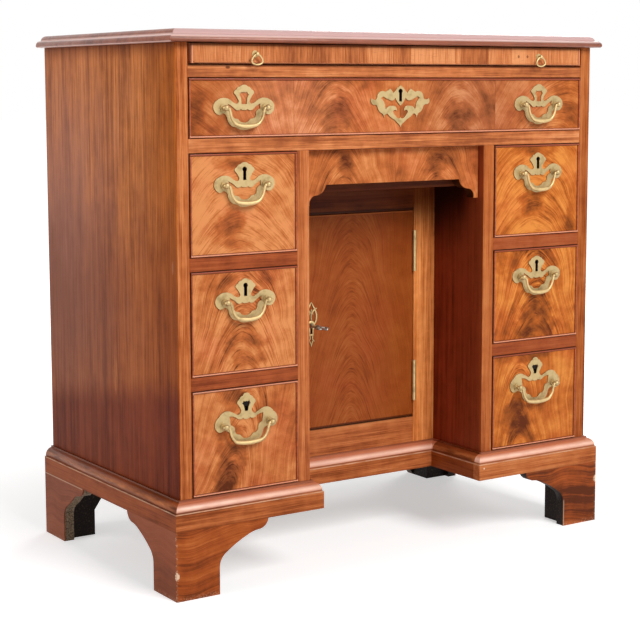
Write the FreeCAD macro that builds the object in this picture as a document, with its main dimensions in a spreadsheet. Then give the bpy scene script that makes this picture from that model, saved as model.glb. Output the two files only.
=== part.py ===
import FreeCAD, Part
import os
import re

"""A mahogany kneehole desk: carcase, writing slide, eight drawers, cupboard and brass fittings.

Frame: origin at the bottom centre of the whole desk, +Z up, the front faces -Y. Lengths are in millimetres.
"""

DOC = FreeCAD.newDocument("kneehole_desk")
SHEET = DOC.addObject("Spreadsheet::Sheet", "Sizes")
VECTOR = FreeCAD.Vector

# Driving dimensions
SIZES = {
    # Columns of the front, from a side to the middle
    "side_thickness": 20,
    "drawer_opening": 178,
    "inner_thickness": 20.5,
    "kneehole_width": 325,
    "carcase_depth": 430,
    # Rows of the front, from the floor up
    "foot_height": 100,
    "fascia_height": 26,
    "moulding_height": 16,
    "lower_opening": 153,
    "middle_opening": 150,
    "upper_opening": 146,
    "rail_height": 19,
    "long_rail_height": 20,
    "long_opening": 84.5,
    "slide_rail_height": 17,
    "slide_opening": 31,
    # Top board and its edge, moulded with a shallow round over a thumb
    "top_thickness": 18.5,
    "top_overhang": 13.5,
    "top_back_overhang": 2,
    "top_edge_set_in": 18,
    "top_thumb_height": 10.6,
    "top_thumb_set_in": 7.3,
    "top_fillet": 1.3,
    "top_under_round": 3,
    # Base moulding
    "base_projection": 15,
    "base_ledge": 2,
    "base_fillet": 2.5,
    "base_ovolo_set_in": 11.5,
    # Carcase boards
    "back_thickness": 10,
    "bottom_thickness": 14,
    "plinth_thickness": 20,
    "rail_depth": 60,
    "runner_width": 18,
    "soffit_thickness": 12,
    # Bracket feet
    "bracket_length": 152,
    "rear_bracket_length": 143,
    "rear_brace_length": 112,
    "bracket_thickness": 17,
    "foot_width": 70,
    "glue_block": 42,
    # Cupboard in the kneehole
    "recess_depth": 125,
    "frame_width": 42,
    "frame_rail": 42.5,
    "frame_thickness": 22,
    "door_thickness": 20,
    "door_gap": 1.2,
    "door_swing_gap": 2,
    # Butt hinges of the door
    "hinge_length": 66,
    "upper_hinge_drop": 32,
    "lower_hinge_rise": 26,
    "leaf_thickness": 1.2,
    "leaf_width": 15,
    "knuckle_radius": 3,
    "knuckle_gap": 0.3,
    "knuckle_stand": 0.4,
    "hinge_pin_radius": 1.4,
    "pin_play": 0.05,
    # Lock, bolt, key and escutcheon of the door
    "key_inset": 40,
    "key_height": 208,
    "lock_length": 58,
    "lock_height": 50,
    "lock_depth": 12,
    "lock_wall": 1.5,
    "bolt_length": 50,
    "bolt_height": 8,
    "bolt_thickness": 5,
    "bolt_lift": 13,
    "bolt_throw": 9,
    "bolt_play": 0.5,
    "mortise_play": 1,
    "key_stem_radius": 2.6,
    "key_hole_play": 1.4,
    "key_stick_out": 47,
    "key_bit_drop": 11,
    "key_bit_thickness": 2.4,
    "key_bit_length": 5,
    "key_bow_radius": 9,
    "key_bow_wire": 2,
    "key_collar_radius": 4.2,
    "key_collar_length": 5,
    "door_scutcheon_width": 26,
    "door_scutcheon_height": 76,
    # Drawers
    "front_thickness": 20,
    "drawer_gap": 1,
    "bead_width": 3,
    "bead_proud": 2.2,
    "lining_thickness": 8,
    "lining_bottom": 6,
    "lining_bottom_lift": 5,
    "lining_headroom": 8,
    "running_gap": 0.3,
    "drawer_back_gap": 28,
    "apron_back_gap": 77,
    # Apron front
    "apron_setback": 13,
    "apron_flat_height": 52,
    "apron_bracket_drop": 30,
    "apron_bracket_width": 37,
    "apron_thickness": 18,
    # Writing slide
    "slide_board_thickness": 20,
    "slide_side_gap": 5,
    "slide_edge_height": 27,
    "slide_edge_depth": 14,
    "slide_edge_lift": 2.5,
    "slide_proud": 3,
    "slide_bead_proud": 1,
    "slide_back_gap": 43,
    # Drop-ring pulls of the slide
    "left_pull_inset": 126,
    "right_pull_inset": 113,
    "pull_rise": 15.5,
    "pull_rose_radius": 5,
    "pull_rose_thickness": 1.2,
    "pull_stem_radius": 1.8,
    "pull_stand": 7,
    "pull_eye_radius": 3.2,
    "pull_eye_hole": 2,
    "ring_radius": 7.6,
    "ring_wire": 1.1,
    # Bail handles
    "post_spacing": 68,
    "lower_post_spacing": 77,
    "plate_thickness": 1.8,
    "plate_rise": 32,
    "lower_plate_rise": 45,
    "plate_drop": 31,
    "post_drop": 46,
    "lower_post_drop": 55,
    "bail_stand": 10.4,
    "post_radius": 3,
    "post_collar_radius": 5.5,
    "post_collar_thickness": 2,
    "post_head_radius": 4.5,
    "post_shank_radius": 2.4,
    "shank_play": 0.2,
    "shank_tail": 8,
    "nut_radius": 6,
    "nut_thickness": 4,
    "bail_wire": 1.9,
    "bail_swell": 3.5,
    "bail_inset": 6.7,
    "bail_drop": 26,
    "bail_corner_radius": 16,
    "bail_pin_radius": 1.8,
    "bail_pin_tail": 1,
    # Drawer locks and keyholes
    "drawer_lock_width": 48,
    "drawer_lock_height": 32,
    "drawer_lock_depth": 8,
    "keyhole_radius": 3.4,
    "keyhole_slot": 4.6,
    "keyhole_length": 15,
    "keyhole_lift": 22,
    "lock_pin_depth": 5,
    # Escutcheon of the long drawer
    "scutcheon_width": 106,
    "scutcheon_height": 63,
    # Length by which every cutting tool runs past the wood
    "overrun": 5,
}

# Places worked out from the driving dimensions
PLACES = {
    "pedestal_width": "side_thickness + drawer_opening + inner_thickness",
    "half_knee": "kneehole_width / 2",
    "half_width": "half_knee + pedestal_width",
    "half_inside": "half_width - side_thickness",
    "inner_face": "half_knee + inner_thickness",
    "column_middle": "inner_face + drawer_opening / 2",
    "front_y": "(base_projection - carcase_depth - top_back_overhang) / 2",
    "back_y": "front_y + carcase_depth",
    "back_face": "back_y - back_thickness",
    "rail_back": "front_y + rail_depth",
    "carcase_base": "foot_height + fascia_height + moulding_height",
    "lower_top": "carcase_base + lower_opening",
    "middle_base": "lower_top + rail_height",
    "middle_top": "middle_base + middle_opening",
    "upper_base": "middle_top + rail_height",
    "upper_top": "upper_base + upper_opening",
    "long_base": "upper_top + long_rail_height",
    "long_top": "long_base + long_opening",
    "slide_base": "long_top + slide_rail_height",
    "carcase_top": "slide_base + slide_opening",
    "recess_y": "front_y + recess_depth",
    "frame_back": "recess_y + frame_thickness",
    "frame_opening": "half_knee - frame_width",
    "apron_front_y": "front_y + apron_setback",
    "apron_back_y": "apron_front_y + apron_thickness",
    "soffit_top": "upper_top - apron_flat_height",
    "soffit_base": "soffit_top - soffit_thickness",
    "door_base": "carcase_base + frame_rail + door_gap",
    "frame_head": "soffit_base - frame_width",
    "door_top": "frame_head - door_gap",
    "door_left": "door_swing_gap - frame_opening",
    "door_right": "frame_opening - door_gap",
    "door_back": "recess_y + door_thickness",
    "hinge_x": "frame_opening - door_gap / 2",
    "hinge_y": "recess_y - knuckle_radius - knuckle_stand",
    "key_x": "door_left + key_inset",
    "key_z": "carcase_base + key_height",
    "lock_face": "door_back - lock_depth",
    "bolt_y": "door_back - lock_depth / 2",
    "bail_y": "front_y - bail_stand",
    "slide_front": "front_y - slide_proud",
    "slide_board_front": "slide_front + slide_edge_depth",
    "slide_half": "half_inside - slide_side_gap",
    "slide_floor": "slide_base + running_gap",
    "pull_y": "slide_front - pull_stand",
    "pull_z": "slide_base + pull_rise",
    "long_post_z": "long_base + long_opening / 2",
}

# Outlines as shares: across by half the width they follow, up and down by the heights over and under it.
# Every second point is a corner, and an arc joins two corners through the point between them.
PLATE_EDGE_SHARES = (
    (0, 1), (0.11, 0.98), (0.2, 0.91), (0.31, 0.873), (0.36, 0.788), (0.447, 0.742), (0.488, 0.645),
    (0.36, 0.485), (0.256, 0.297), (0.282, 0.218), (0.37, 0.17), (0.5, 0.224), (0.647, 0.339), (0.97, 0.436),
    (1.28, 0.333), (1.465, 0.045), (1.368, -0.21), (1.206, -0.31), (1.03, -0.239), (0.897, -0.29),
    (0.818, -0.419), (0.735, -0.677), (0.515, -0.858), (0.382, -0.884), (0.265, -0.955), (0.141, -0.99),
    (0, -1),
)
PLATE_OPENING_SHARES = (
    (0, -0.103), (0.097, -0.097), (0.165, -0.055), (0.294, -0.119), (0.426, -0.065), (0.582, 0.067),
    (0.794, 0.188), (0.77, 0.073), (0.803, -0.052), (0.659, -0.097), (0.568, -0.226), (0.556, -0.361),
    (0.47, -0.477), (0.382, -0.49), (0.288, -0.516), (0.176, -0.632), (0, -0.67),
)
PLATE_PIERCING_SHARES = (
    (0, 0.685), (0.076, 0.667), (0.153, 0.709), (0.176, 0.62), (0.241, 0.558), (0.176, 0.485),
    (0.147, 0.394), (0.132, 0.288), (0.129, 0.158), (0.065, 0.152), (0, 0.155),
)
LOWER_PLATE_EDGE_SHARES = (
    (0, 1), (0.094, 0.982), (0.156, 0.907), (0.249, 0.876), (0.294, 0.809), (0.369, 0.764), (0.395, 0.678),
    (0.291, 0.56), (0.223, 0.453), (0.255, 0.373), (0.377, 0.307), (0.504, 0.369), (0.662, 0.436),
    (0.948, 0.458), (1.182, 0.302), (1.356, 0.067), (1.286, -0.174), (1.143, -0.265), (0.987, -0.206),
    (0.821, -0.252), (0.714, -0.371), (0.639, -0.645), (0.481, -0.823), (0.364, -0.871), (0.247, -0.955),
    (0.125, -0.99), (0, -1),
)
LOWER_PLATE_OPENING_SHARES = (
    (0, 0.156), (0.083, 0.16), (0.151, 0.204), (0.281, 0.162), (0.403, 0.204), (0.532, 0.267),
    (0.738, 0.293), (0.712, 0.144), (0.686, 0), (0.571, -0.058), (0.504, -0.206), (0.478, -0.368),
    (0.358, -0.471), (0.296, -0.484), (0.244, -0.535), (0.156, -0.639), (0, -0.677),
)
LOWER_PLATE_PIERCING_SHARES = (
    (0, 0.738), (0.062, 0.724), (0.13, 0.762), (0.145, 0.707), (0.197, 0.667), (0.135, 0.613),
    (0.104, 0.556), (0.083, 0.489), (0.073, 0.418), (0.036, 0.409), (0, 0.411),
)
SCUTCHEON_EDGE_SHARES = (
    (0, 1), (0.045, 0.91), (0.102, 0.868), (0.16, 0.743), (0.249, 0.616), (0.283, 0.692), (0.358, 0.825),
    (0.43, 0.737), (0.528, 0.667), (0.689, 0.686), (0.8, 0.508), (0.811, 0.394), (0.858, 0.298),
    (0.925, 0.305), (0.996, 0.368), (1, 0.146), (0.887, 0.076), (0.823, 0.032), (0.792, -0.063),
    (0.726, -0.241), (0.626, -0.349), (0.592, -0.432), (0.558, -0.559), (0.521, -0.387), (0.443, -0.362),
    (0.34, -0.521), (0.226, -0.622), (0.123, -0.762), (0.066, -0.838), (0.026, -0.908), (0, -1),
)
SCUTCHEON_OPENING_SHARES = (
    (0, 0.025), (0.087, 0.159), (0.185, 0.4), (0.226, 0.305), (0.332, 0.267), (0.453, 0.337), (0.585, 0.457),
    (0.642, 0.425), (0.679, 0.362), (0.594, 0.238), (0.54, 0.063), (0.528, -0.079), (0.506, -0.159),
    (0.434, -0.032), (0.302, 0), (0.162, -0.051), (0.128, -0.235), (0.192, -0.178), (0.264, -0.267),
    (0.208, -0.413), (0.132, -0.54), (0.06, -0.59), (0, -0.54),
)
DOOR_SCUTCHEON_EDGE_SHARES = (
    (0, 1), (0.35, 0.85), (0.42, 0.66), (0.62, 0.64), (0.78, 0.45), (0.95, 0.3), (0.98, 0.05), (0.9, -0.2),
    (0.6, -0.32), (0.58, -0.52), (0.42, -0.66), (0.3, -0.86), (0, -1),
)
# Bracket foot, from its tip under the fascia to the floor: along by its length or foot width, up by height
BRACKET_TIP_SHARES = ((1, 1), (0.972, 0.912), (0.908, 0.858), (0.836, 0.842), (0.763, 0.8))
BRACKET_TOE_SHARES = ((1.42, 0.718), (1.17, 0.605), (1.04, 0.51), (1, 0.39))
# Middle of the shallow round of the top's edge: across and down it, from the flat
TOP_ROUND_SHARES = (0.77, 0.485)
# Apron bracket, from the flat down to its end: across by its width, down by its drop
APRON_BRACKET_SHARES = ((0, 0), (0.17, 0.36), (0.45, 0.5), (0.72, 0.66), (0.78, 1))

# Where the middle of a quarter arc lies along each of its two radii
MID_ARC_SHARE = 0.7071

# The outlines of a handle plate: its edge, its opening and the piercing in its shield
PLATES = {
    "post_spacing": (PLATE_EDGE_SHARES, PLATE_OPENING_SHARES, PLATE_PIERCING_SHARES),
    "lower_post_spacing": (LOWER_PLATE_EDGE_SHARES, LOWER_PLATE_OPENING_SHARES, LOWER_PLATE_PIERCING_SHARES),
}
SIDES = (("left", -1), ("right", 1))
TURNS = {
    "x": FreeCAD.Rotation(VECTOR(0, 1, 0), 90),
    "y": FreeCAD.Rotation(VECTOR(1, 0, 0), -90),
    "z": FreeCAD.Rotation(),
}
NODES = []


# Sheet and formulas
def fill_sheet():
    """Write each driving dimension and each place into its own named cell."""
    rows = [(name, str(size)) for name, size in SIZES.items()]
    rows += [(name, "=" + text) for name, text in PLACES.items()]
    for row, (name, text) in enumerate(rows, start=1):
        SHEET.set(f"A{row}", name)
        SHEET.set(f"B{row}", text)
        SHEET.setAlias(f"B{row}", name)
    DOC.recompute()


def formula(text):
    """Put the sheet's name before every size that a formula names."""
    return re.sub(r"[a-z][a-z_]+", lambda word: "Sizes." + word.group(), text)


def size(name):
    """The number in a named cell."""
    return float(SHEET.get(name))


def mirrored(sign, low, high):
    """A span on the right side, or its mirror image on the left."""
    return (low, high) if sign > 0 else (f"-({high})", f"-({low})")


def at_side(sign, text):
    """A place on the right side, or its mirror image on the left."""
    return text if sign > 0 else f"-({text})"


# Primitives bound to the sheet
def box(name, x, y, z):
    """A block between two formulas along each axis."""
    piece = DOC.addObject("Part::Box", name)
    for axis, edge, (low, high) in (("x", "Length", x), ("y", "Width", y), ("z", "Height", z)):
        piece.setExpression(edge, formula(f"({high}) - ({low})"))
        piece.setExpression("Placement.Base." + axis, formula(low))
    return piece


def rod(name, axis, radius, start, length):
    """A cylinder from a start point along one axis."""
    piece = DOC.addObject("Part::Cylinder", name)
    piece.Placement = FreeCAD.Placement(VECTOR(), TURNS[axis])
    piece.setExpression("Radius", formula(radius))
    piece.setExpression("Height", formula(length))
    place(piece, start)
    return piece


def ball(name, radius, centre):
    """A sphere about a point."""
    piece = DOC.addObject("Part::Sphere", name)
    piece.setExpression("Radius", formula(radius))
    place(piece, centre)
    return piece


def bent_rod(name, bend_radius, wire_radius, centre, start_angle, turn_angle):
    """A bent round bar in an upright plane that faces the front: its bend starts at an angle from +X."""
    piece = DOC.addObject("Part::Torus", name)
    piece.setExpression("Radius1", formula(bend_radius))
    piece.setExpression("Radius2", formula(wire_radius))
    piece.Angle3 = turn_angle
    upright = FreeCAD.Rotation(VECTOR(1, 0, 0), 90)
    piece.Placement = FreeCAD.Placement(VECTOR(), upright * FreeCAD.Rotation(VECTOR(0, 0, 1), start_angle))
    place(piece, centre)
    return piece


def taper(name, axis, radii, start, length):
    """A round bar that tapers from its start along one axis."""
    piece = DOC.addObject("Part::Cone", name)
    piece.Placement = FreeCAD.Placement(VECTOR(), TURNS[axis])
    for edge, text in zip(("Radius1", "Radius2", "Height"), (*radii, length)):
        piece.setExpression(edge, formula(text))
    place(piece, start)
    return piece


def place(piece, point):
    """Tie an object's place to three formulas."""
    for axis, text in zip("xyz", point):
        piece.setExpression("Placement.Base." + axis, formula(text))


def fused(name, pieces):
    """Several shapes joined into one solid."""
    joined = DOC.addObject("Part::MultiFuse", name)
    joined.Shapes = pieces
    return joined


def cut(name, base, tools):
    """A solid with several tools taken out of it."""
    piece = DOC.addObject("Part::Cut", name)
    piece.Base = base
    piece.Tool = tools[0] if len(tools) == 1 else fused(name + "_tools", tools)
    return piece


def carved(name, shape):
    """A shape worked out from outlines, kept as an object of the document."""
    piece = DOC.addObject("Part::Feature", name)
    piece.Shape = shape
    return piece


def node(label, pieces):
    """Name a sub-part: one solid, or a group of separate solids."""
    if len(pieces) == 1:
        piece = pieces[0]
    else:
        piece = DOC.addObject("Part::Compound", label)
        piece.Links = pieces
    piece.Label = label
    NODES.append(piece)


# Outlines
def arc_chain(points):
    """Edges through points: each pair of corners is joined by an arc through the point between them."""
    return [Part.Arc(*points[first:first + 3]).toShape() for first in range(0, len(points) - 1, 2)]


def leaf(shares, half_width, rise, drop, thickness, centre):
    """A thin plate with a left-right symmetric outline: its back lies at the centre's y."""
    right = [VECTOR(centre.x + across * half_width, centre.y, centre.z + up * (rise if up > 0 else drop))
             for across, up in shares]
    left = [VECTOR(2 * centre.x - point.x, point.y, point.z) for point in reversed(right[:-1])]
    wire = Part.Wire(arc_chain(right + left))
    return Part.Face(wire).extrude(VECTOR(0, -thickness, 0))


def prism(points, direction):
    """A straight-sided block over a closed polygon."""
    return Part.Face(Part.makePolygon(points + points[:1])).extrude(direction)


def swept_profile(edges, direction):
    """A block over a closed chain of edges."""
    return Part.Face(Part.Wire(edges)).extrude(direction)


# Top board
def top_edge(reach, outward, low, along):
    """One moulded edge of the top: shallow round, fillet, thumb and rounded under edge, as a chain of edges.

    The chain starts on the top face and ends under the board, at a distance reach outward.
    """
    def point(out, up):
        return along + outward * (reach - out) + VECTOR(0, 0, low + up)

    thickness = size("top_thickness")
    set_in = size("top_edge_set_in")
    fillet = size("top_fillet")
    under = size("top_under_round")
    thumb = size("top_thumb_height")
    ledge = size("top_thumb_set_in")
    across, down = TOP_ROUND_SHARES
    foot_in, foot_up = ledge + fillet, thumb + fillet
    brow = point(set_in + (foot_in - set_in) * across, thickness + (foot_up - thickness) * down)
    knee = point(ledge - ledge * MID_ARC_SHARE, under + (thumb - under) * MID_ARC_SHARE)
    heel = point(under - under * MID_ARC_SHARE, under - under * MID_ARC_SHARE)
    return [
        Part.Arc(point(set_in, thickness), brow, point(foot_in, foot_up)).toShape(),
        Part.LineSegment(point(foot_in, foot_up), point(foot_in, thumb)).toShape(),
        Part.LineSegment(point(foot_in, thumb), point(ledge, thumb)).toShape(),
        Part.Arc(point(ledge, thumb), knee, point(0, under)).toShape(),
        Part.Arc(point(0, under), heel, point(under, 0)).toShape(),
    ]


def make_top():
    """The top board: where a front view and a side view of the moulded board meet."""
    low = size("carcase_top")
    half = size("half_width") + size("top_overhang")
    front = size("front_y") - size("top_overhang")
    back = size("back_y") + size("top_back_overhang")
    thickness = VECTOR(0, 0, size("top_thickness"))
    right = top_edge(half, VECTOR(1, 0, 0), low, VECTOR(0, front, 0))
    left = top_edge(half, VECTOR(-1, 0, 0), low, VECTOR(0, front, 0))
    ends = [(edge[0].Vertexes[0].Point, edge[-1].Vertexes[-1].Point) for edge in (right, left)]
    across = [Part.LineSegment(ends[1][row], ends[0][row]).toShape() for row in (0, 1)]
    front_view = swept_profile(Part.__sortEdges__(right + left + across), VECTOR(0, back - front, 0))
    nose = top_edge(-front, VECTOR(0, -1, 0), low, VECTOR(-half, 0, 0))
    tail_low = VECTOR(-half, back, low)
    tail = [Part.LineSegment(nose[0].Vertexes[0].Point, tail_low + thickness).toShape(),
            Part.LineSegment(tail_low + thickness, tail_low).toShape(),
            Part.LineSegment(tail_low, nose[-1].Vertexes[-1].Point).toShape()]
    side_view = swept_profile(Part.__sortEdges__(nose + tail), VECTOR(2 * half, 0, 0))
    node("top_board", [carved("top_shape", front_view.common(side_view))])


# Carcase
def make_panels():
    """The two sides and the two inner panels of the pedestals."""
    depth = ("front_y", "back_y")
    for side, sign in SIDES:
        outer = mirrored(sign, "half_inside", "half_width")
        node(f"{side}_side_panel", [box(f"{side}_side", outer, depth, ("foot_height", "carcase_top"))])
    for side, sign in SIDES:
        inner = box(f"{side}_inner", mirrored(sign, "half_knee", "inner_face"), ("front_y", "back_face"),
                    ("foot_height", "upper_top"))
        node(f"{side}_inner_panel", [inner])


def make_back_and_bottom():
    """Upright back boards, and the pedestal and cupboard bottoms with their plinth rails."""
    seams = ("-half_inside", "-half_knee", "0", "half_knee", "half_inside")
    boards = [box(f"back_board_{seams.index(low)}", (low, high), ("back_face", "back_y"),
                  ("foot_height", "carcase_top")) for low, high in zip(seams, seams[1:])]
    node("back_boards", boards)
    level = ("carcase_base - bottom_thickness", "carcase_base")
    under = ("foot_height", "carcase_base - bottom_thickness")
    pieces = []
    for side, sign in SIDES:
        span = mirrored(sign, "inner_face", "half_inside")
        pieces.append(box(f"{side}_bottom", span, ("front_y", "back_face"), level))
        pieces.append(box(f"{side}_plinth", span, ("front_y", "front_y + plinth_thickness"), under))
    pieces.append(box("cupboard_bottom", ("-half_knee", "half_knee"), ("frame_back", "back_face"), level))
    node("bottom_boards", pieces)


def make_rails_and_runners():
    """Front rails between the drawers, and the strips behind them that the drawers and slide run on."""
    inside = ("-half_inside", "half_inside")
    rail_span = ("front_y", "rail_back")
    run_span = ("rail_back", "back_face")
    node("slide_rail", [box("slide_front_rail", inside, rail_span, ("long_top", "slide_base"))])
    node("long_rail", [box("long_front_rail", inside, rail_span, ("upper_top", "long_base"))])
    rails = []
    runners = []
    for side, sign in SIDES:
        opening = mirrored(sign, "inner_face", "half_inside")
        outer = mirrored(sign, "half_inside - runner_width", "half_inside")
        inner = mirrored(sign, "inner_face", "inner_face + runner_width")
        levels = (("lower", ("lower_top", "middle_base")), ("middle", ("middle_top", "upper_base")))
        for row, level in levels:
            rails.append(box(f"{side}_{row}_rail", opening, rail_span, level))
            runners.append(box(f"{side}_{row}_outer_runner", outer, run_span, level))
            runners.append(box(f"{side}_{row}_inner_runner", inner, run_span, level))
        above = mirrored(sign, "half_knee", "inner_face")
        runners.append(box(f"{side}_long_outer_runner", outer, run_span, ("upper_top", "long_base")))
        runners.append(box(f"{side}_long_inner_runner", above, run_span, ("upper_top", "long_base")))
        runners.append(box(f"{side}_slide_runner", outer, run_span, ("long_top", "slide_base")))
    node("drawer_rails", rails)
    node("drawer_runners", runners)


def make_cupboard_frame():
    """The soffit over the kneehole and the fixed face frame that the cupboard door closes into."""
    knee = ("-half_knee", "half_knee")
    node("kneehole_soffit", [box("soffit", knee, ("apron_back_y + drawer_gap", "back_face"),
                                 ("soffit_base", "soffit_top"))])
    thick = ("recess_y", "frame_back")
    opening = ("-frame_opening", "frame_opening")
    tall = ("foot_height", "soffit_base")
    left_stile = box("left_stile_wood", mirrored(-1, "frame_opening", "half_knee"), thick, tall)
    half_bolt = "bolt_thickness / 2 + mortise_play"
    mortise = box("bolt_mortise", ("-frame_opening - bolt_throw - mortise_play", "-frame_opening + overrun"),
                  (f"bolt_y - ({half_bolt})", f"bolt_y + {half_bolt}"),
                  ("key_z + bolt_lift - mortise_play", "key_z + bolt_lift + bolt_height + mortise_play"))
    right_stile = box("right_stile_wood", mirrored(1, "frame_opening", "half_knee"), thick, tall)
    node("cupboard_frame", [
        cut("left_stile", left_stile, [mortise]),
        cut("right_stile", right_stile,
            leaf_pockets("stile", "frame_opening", "frame_opening + leaf_thickness")),
        box("frame_bottom_rail", opening, thick, ("foot_height", "carcase_base + frame_rail")),
        box("frame_top_rail", opening, thick, ("frame_head", "soffit_base")),
    ])


# Base moulding and feet
def moulding_profile(start, outward):
    """The base moulding's section in edges: fascia, ledge, ovolo and top fillet, out from the carcase."""
    def point(out, up):
        return start + outward * out + VECTOR(0, 0, up)

    full = size("base_projection")
    fascia = size("foot_height") + size("fascia_height")
    top = size("carcase_base")
    shelf = full - size("base_ledge")
    crown = full - size("base_ovolo_set_in")
    shoulder = top - size("base_fillet")
    bulge = point(crown + (shelf - crown) * MID_ARC_SHARE, fascia + (shoulder - fascia) * MID_ARC_SHARE)
    corners = [point(crown, shoulder), point(crown, top), point(0, top), point(0, size("foot_height")),
               point(full, size("foot_height")), point(full, fascia), point(shelf, fascia)]
    lines = [Part.LineSegment(a, b).toShape() for a, b in zip(corners, corners[1:])]
    return lines + [Part.Arc(corners[-1], bulge, corners[0]).toShape()]


def mitred_length(start, end, outward, start_mitre, end_mitre):
    """One straight length of base moulding: its section run along the carcase, cut to a mitre at each end.

    A mitre of +1 opens outward, as at a projecting corner, -1 closes as in an inner corner, and 0 is square.
    """
    along = (end - start).normalize()
    full = size("base_projection")
    spare = along * (full + size("overrun"))
    run = swept_profile(moulding_profile(start - spare, outward), end - start + spare * 2)
    plan = [start, start + outward * full - along * full * start_mitre,
            end + outward * full + along * full * end_mitre, end]
    low = VECTOR(0, 0, size("foot_height"))
    return run.common(prism([corner + low for corner in plan], VECTOR(0, 0, size("carcase_base")) - low))


def make_base_moulding():
    """Mitred lengths round the breakfront plan: side, front and return at each pedestal, and the recess."""
    front, back, recess = size("front_y"), size("back_y"), size("recess_y")
    wide, knee = size("half_width"), size("half_knee")
    lengths = []
    for sign in (-1, 1):
        across = VECTOR(sign, 0, 0)
        outer = VECTOR(sign * wide, front, 0)
        inner = VECTOR(sign * knee, front, 0)
        lengths.append(mitred_length(VECTOR(sign * wide, back, 0), outer, across, 0, 1))
        lengths.append(mitred_length(outer, inner, VECTOR(0, -1, 0), 1, 1))
        lengths.append(mitred_length(inner, VECTOR(sign * knee, recess, 0), -across, 1, -1))
    nook_left, nook_right = VECTOR(-knee, recess, 0), VECTOR(knee, recess, 0)
    lengths.append(mitred_length(nook_left, nook_right, VECTOR(0, -1, 0), -1, -1))
    node("base_moulding", [carved(f"base_length_{place_in_row}", shape)
                           for place_in_row, shape in enumerate(lengths)])


def bracket(corner, along, inward, length):
    """A foot bracket cut from a board: a shaped lower edge from its tip under the fascia to its toe."""
    height = size("foot_height")
    toe = size("foot_width")

    def point(out, up):
        return corner + along * out + VECTOR(0, 0, up * height)

    tip = [point(across * length, up) for across, up in BRACKET_TIP_SHARES]
    curve = [point(across * toe, up) for across, up in BRACKET_TOE_SHARES]
    edges = arc_chain(tip + curve)
    edges += [Part.LineSegment(curve[-1], point(toe, 0)).toShape(),
              Part.LineSegment(point(toe, 0), point(0, 0)).toShape(),
              Part.LineSegment(point(0, 0), point(0, 1)).toShape(),
              Part.LineSegment(point(0, 1), tip[0]).toShape()]
    return swept_profile(edges, inward * size("bracket_thickness"))


def mitre_block(corner, along, inward, length):
    """The plan of a bracket that ends in a mitre at the corner, as a tall block."""
    thick = size("bracket_thickness")
    plan = [corner, corner + along * length, corner + along * length + inward * thick,
            corner + (along + inward) * thick]
    return prism(plan, VECTOR(0, 0, size("foot_height")))


def make_feet():
    """Front feet of mitred brackets, rear feet of a side bracket and a brace, each with a glue block."""
    thick = size("bracket_thickness")
    out = size("base_projection")
    front_pieces = []
    rear_pieces = []
    for side, sign in SIDES:
        in_x = VECTOR(-sign, 0, 0)
        in_y = VECTOR(0, 1, 0)
        front = VECTOR(sign * (size("half_width") + out), size("front_y") - out, 0)
        for face, along, inward in (("front", in_x, in_y), ("side", in_y, in_x)):
            length = size("bracket_length")
            shape = bracket(front, along, inward, length).common(mitre_block(front, along, inward, length))
            front_pieces.append(carved(f"{side}_front_foot_{face}", shape))
        nook = front + (in_x + in_y) * thick
        front_pieces.append(carved(f"{side}_front_block", glue_block(nook, in_x, in_y)))
        rear = VECTOR(sign * (size("half_width") + out), size("back_y"), 0)
        side_bracket = bracket(rear, -in_y, in_x, size("rear_bracket_length"))
        rear_pieces.append(carved(f"{side}_rear_foot_side", side_bracket))
        rear_nook = rear + in_x * thick
        high = VECTOR(0, 0, size("foot_height"))
        brace_face = [rear_nook, rear_nook + in_x * size("glue_block"),
                      rear_nook + in_x * size("rear_brace_length") + high, rear_nook + high]
        rear_pieces.append(carved(f"{side}_rear_foot_brace", prism(brace_face, -in_y * thick)))
        rear_pieces.append(carved(f"{side}_rear_block", glue_block(rear_nook - in_y * thick, in_x, -in_y)))
    node("front_feet", front_pieces)
    node("rear_feet", rear_pieces)


def glue_block(nook, first, second):
    """The square post glued into the corner behind a foot's brackets."""
    wide = size("glue_block")
    plan = [nook, nook + first * wide, nook + (first + second) * wide, nook + second * wide]
    return prism(plan, VECTOR(0, 0, size("foot_height")))


# Cupboard door
HINGES = (
    ("upper", "door_top - upper_hinge_drop - hinge_length"),
    ("lower", "door_base + lower_hinge_rise"),
)


def leaf_pockets(owner, low, high):
    """The two shallow housings that hinge leaves lie in."""
    return [box(f"{owner}_{hinge}_pocket", (low, high), ("recess_y", "recess_y + leaf_width"),
                (base, f"{base} + hinge_length")) for hinge, base in HINGES]


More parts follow.
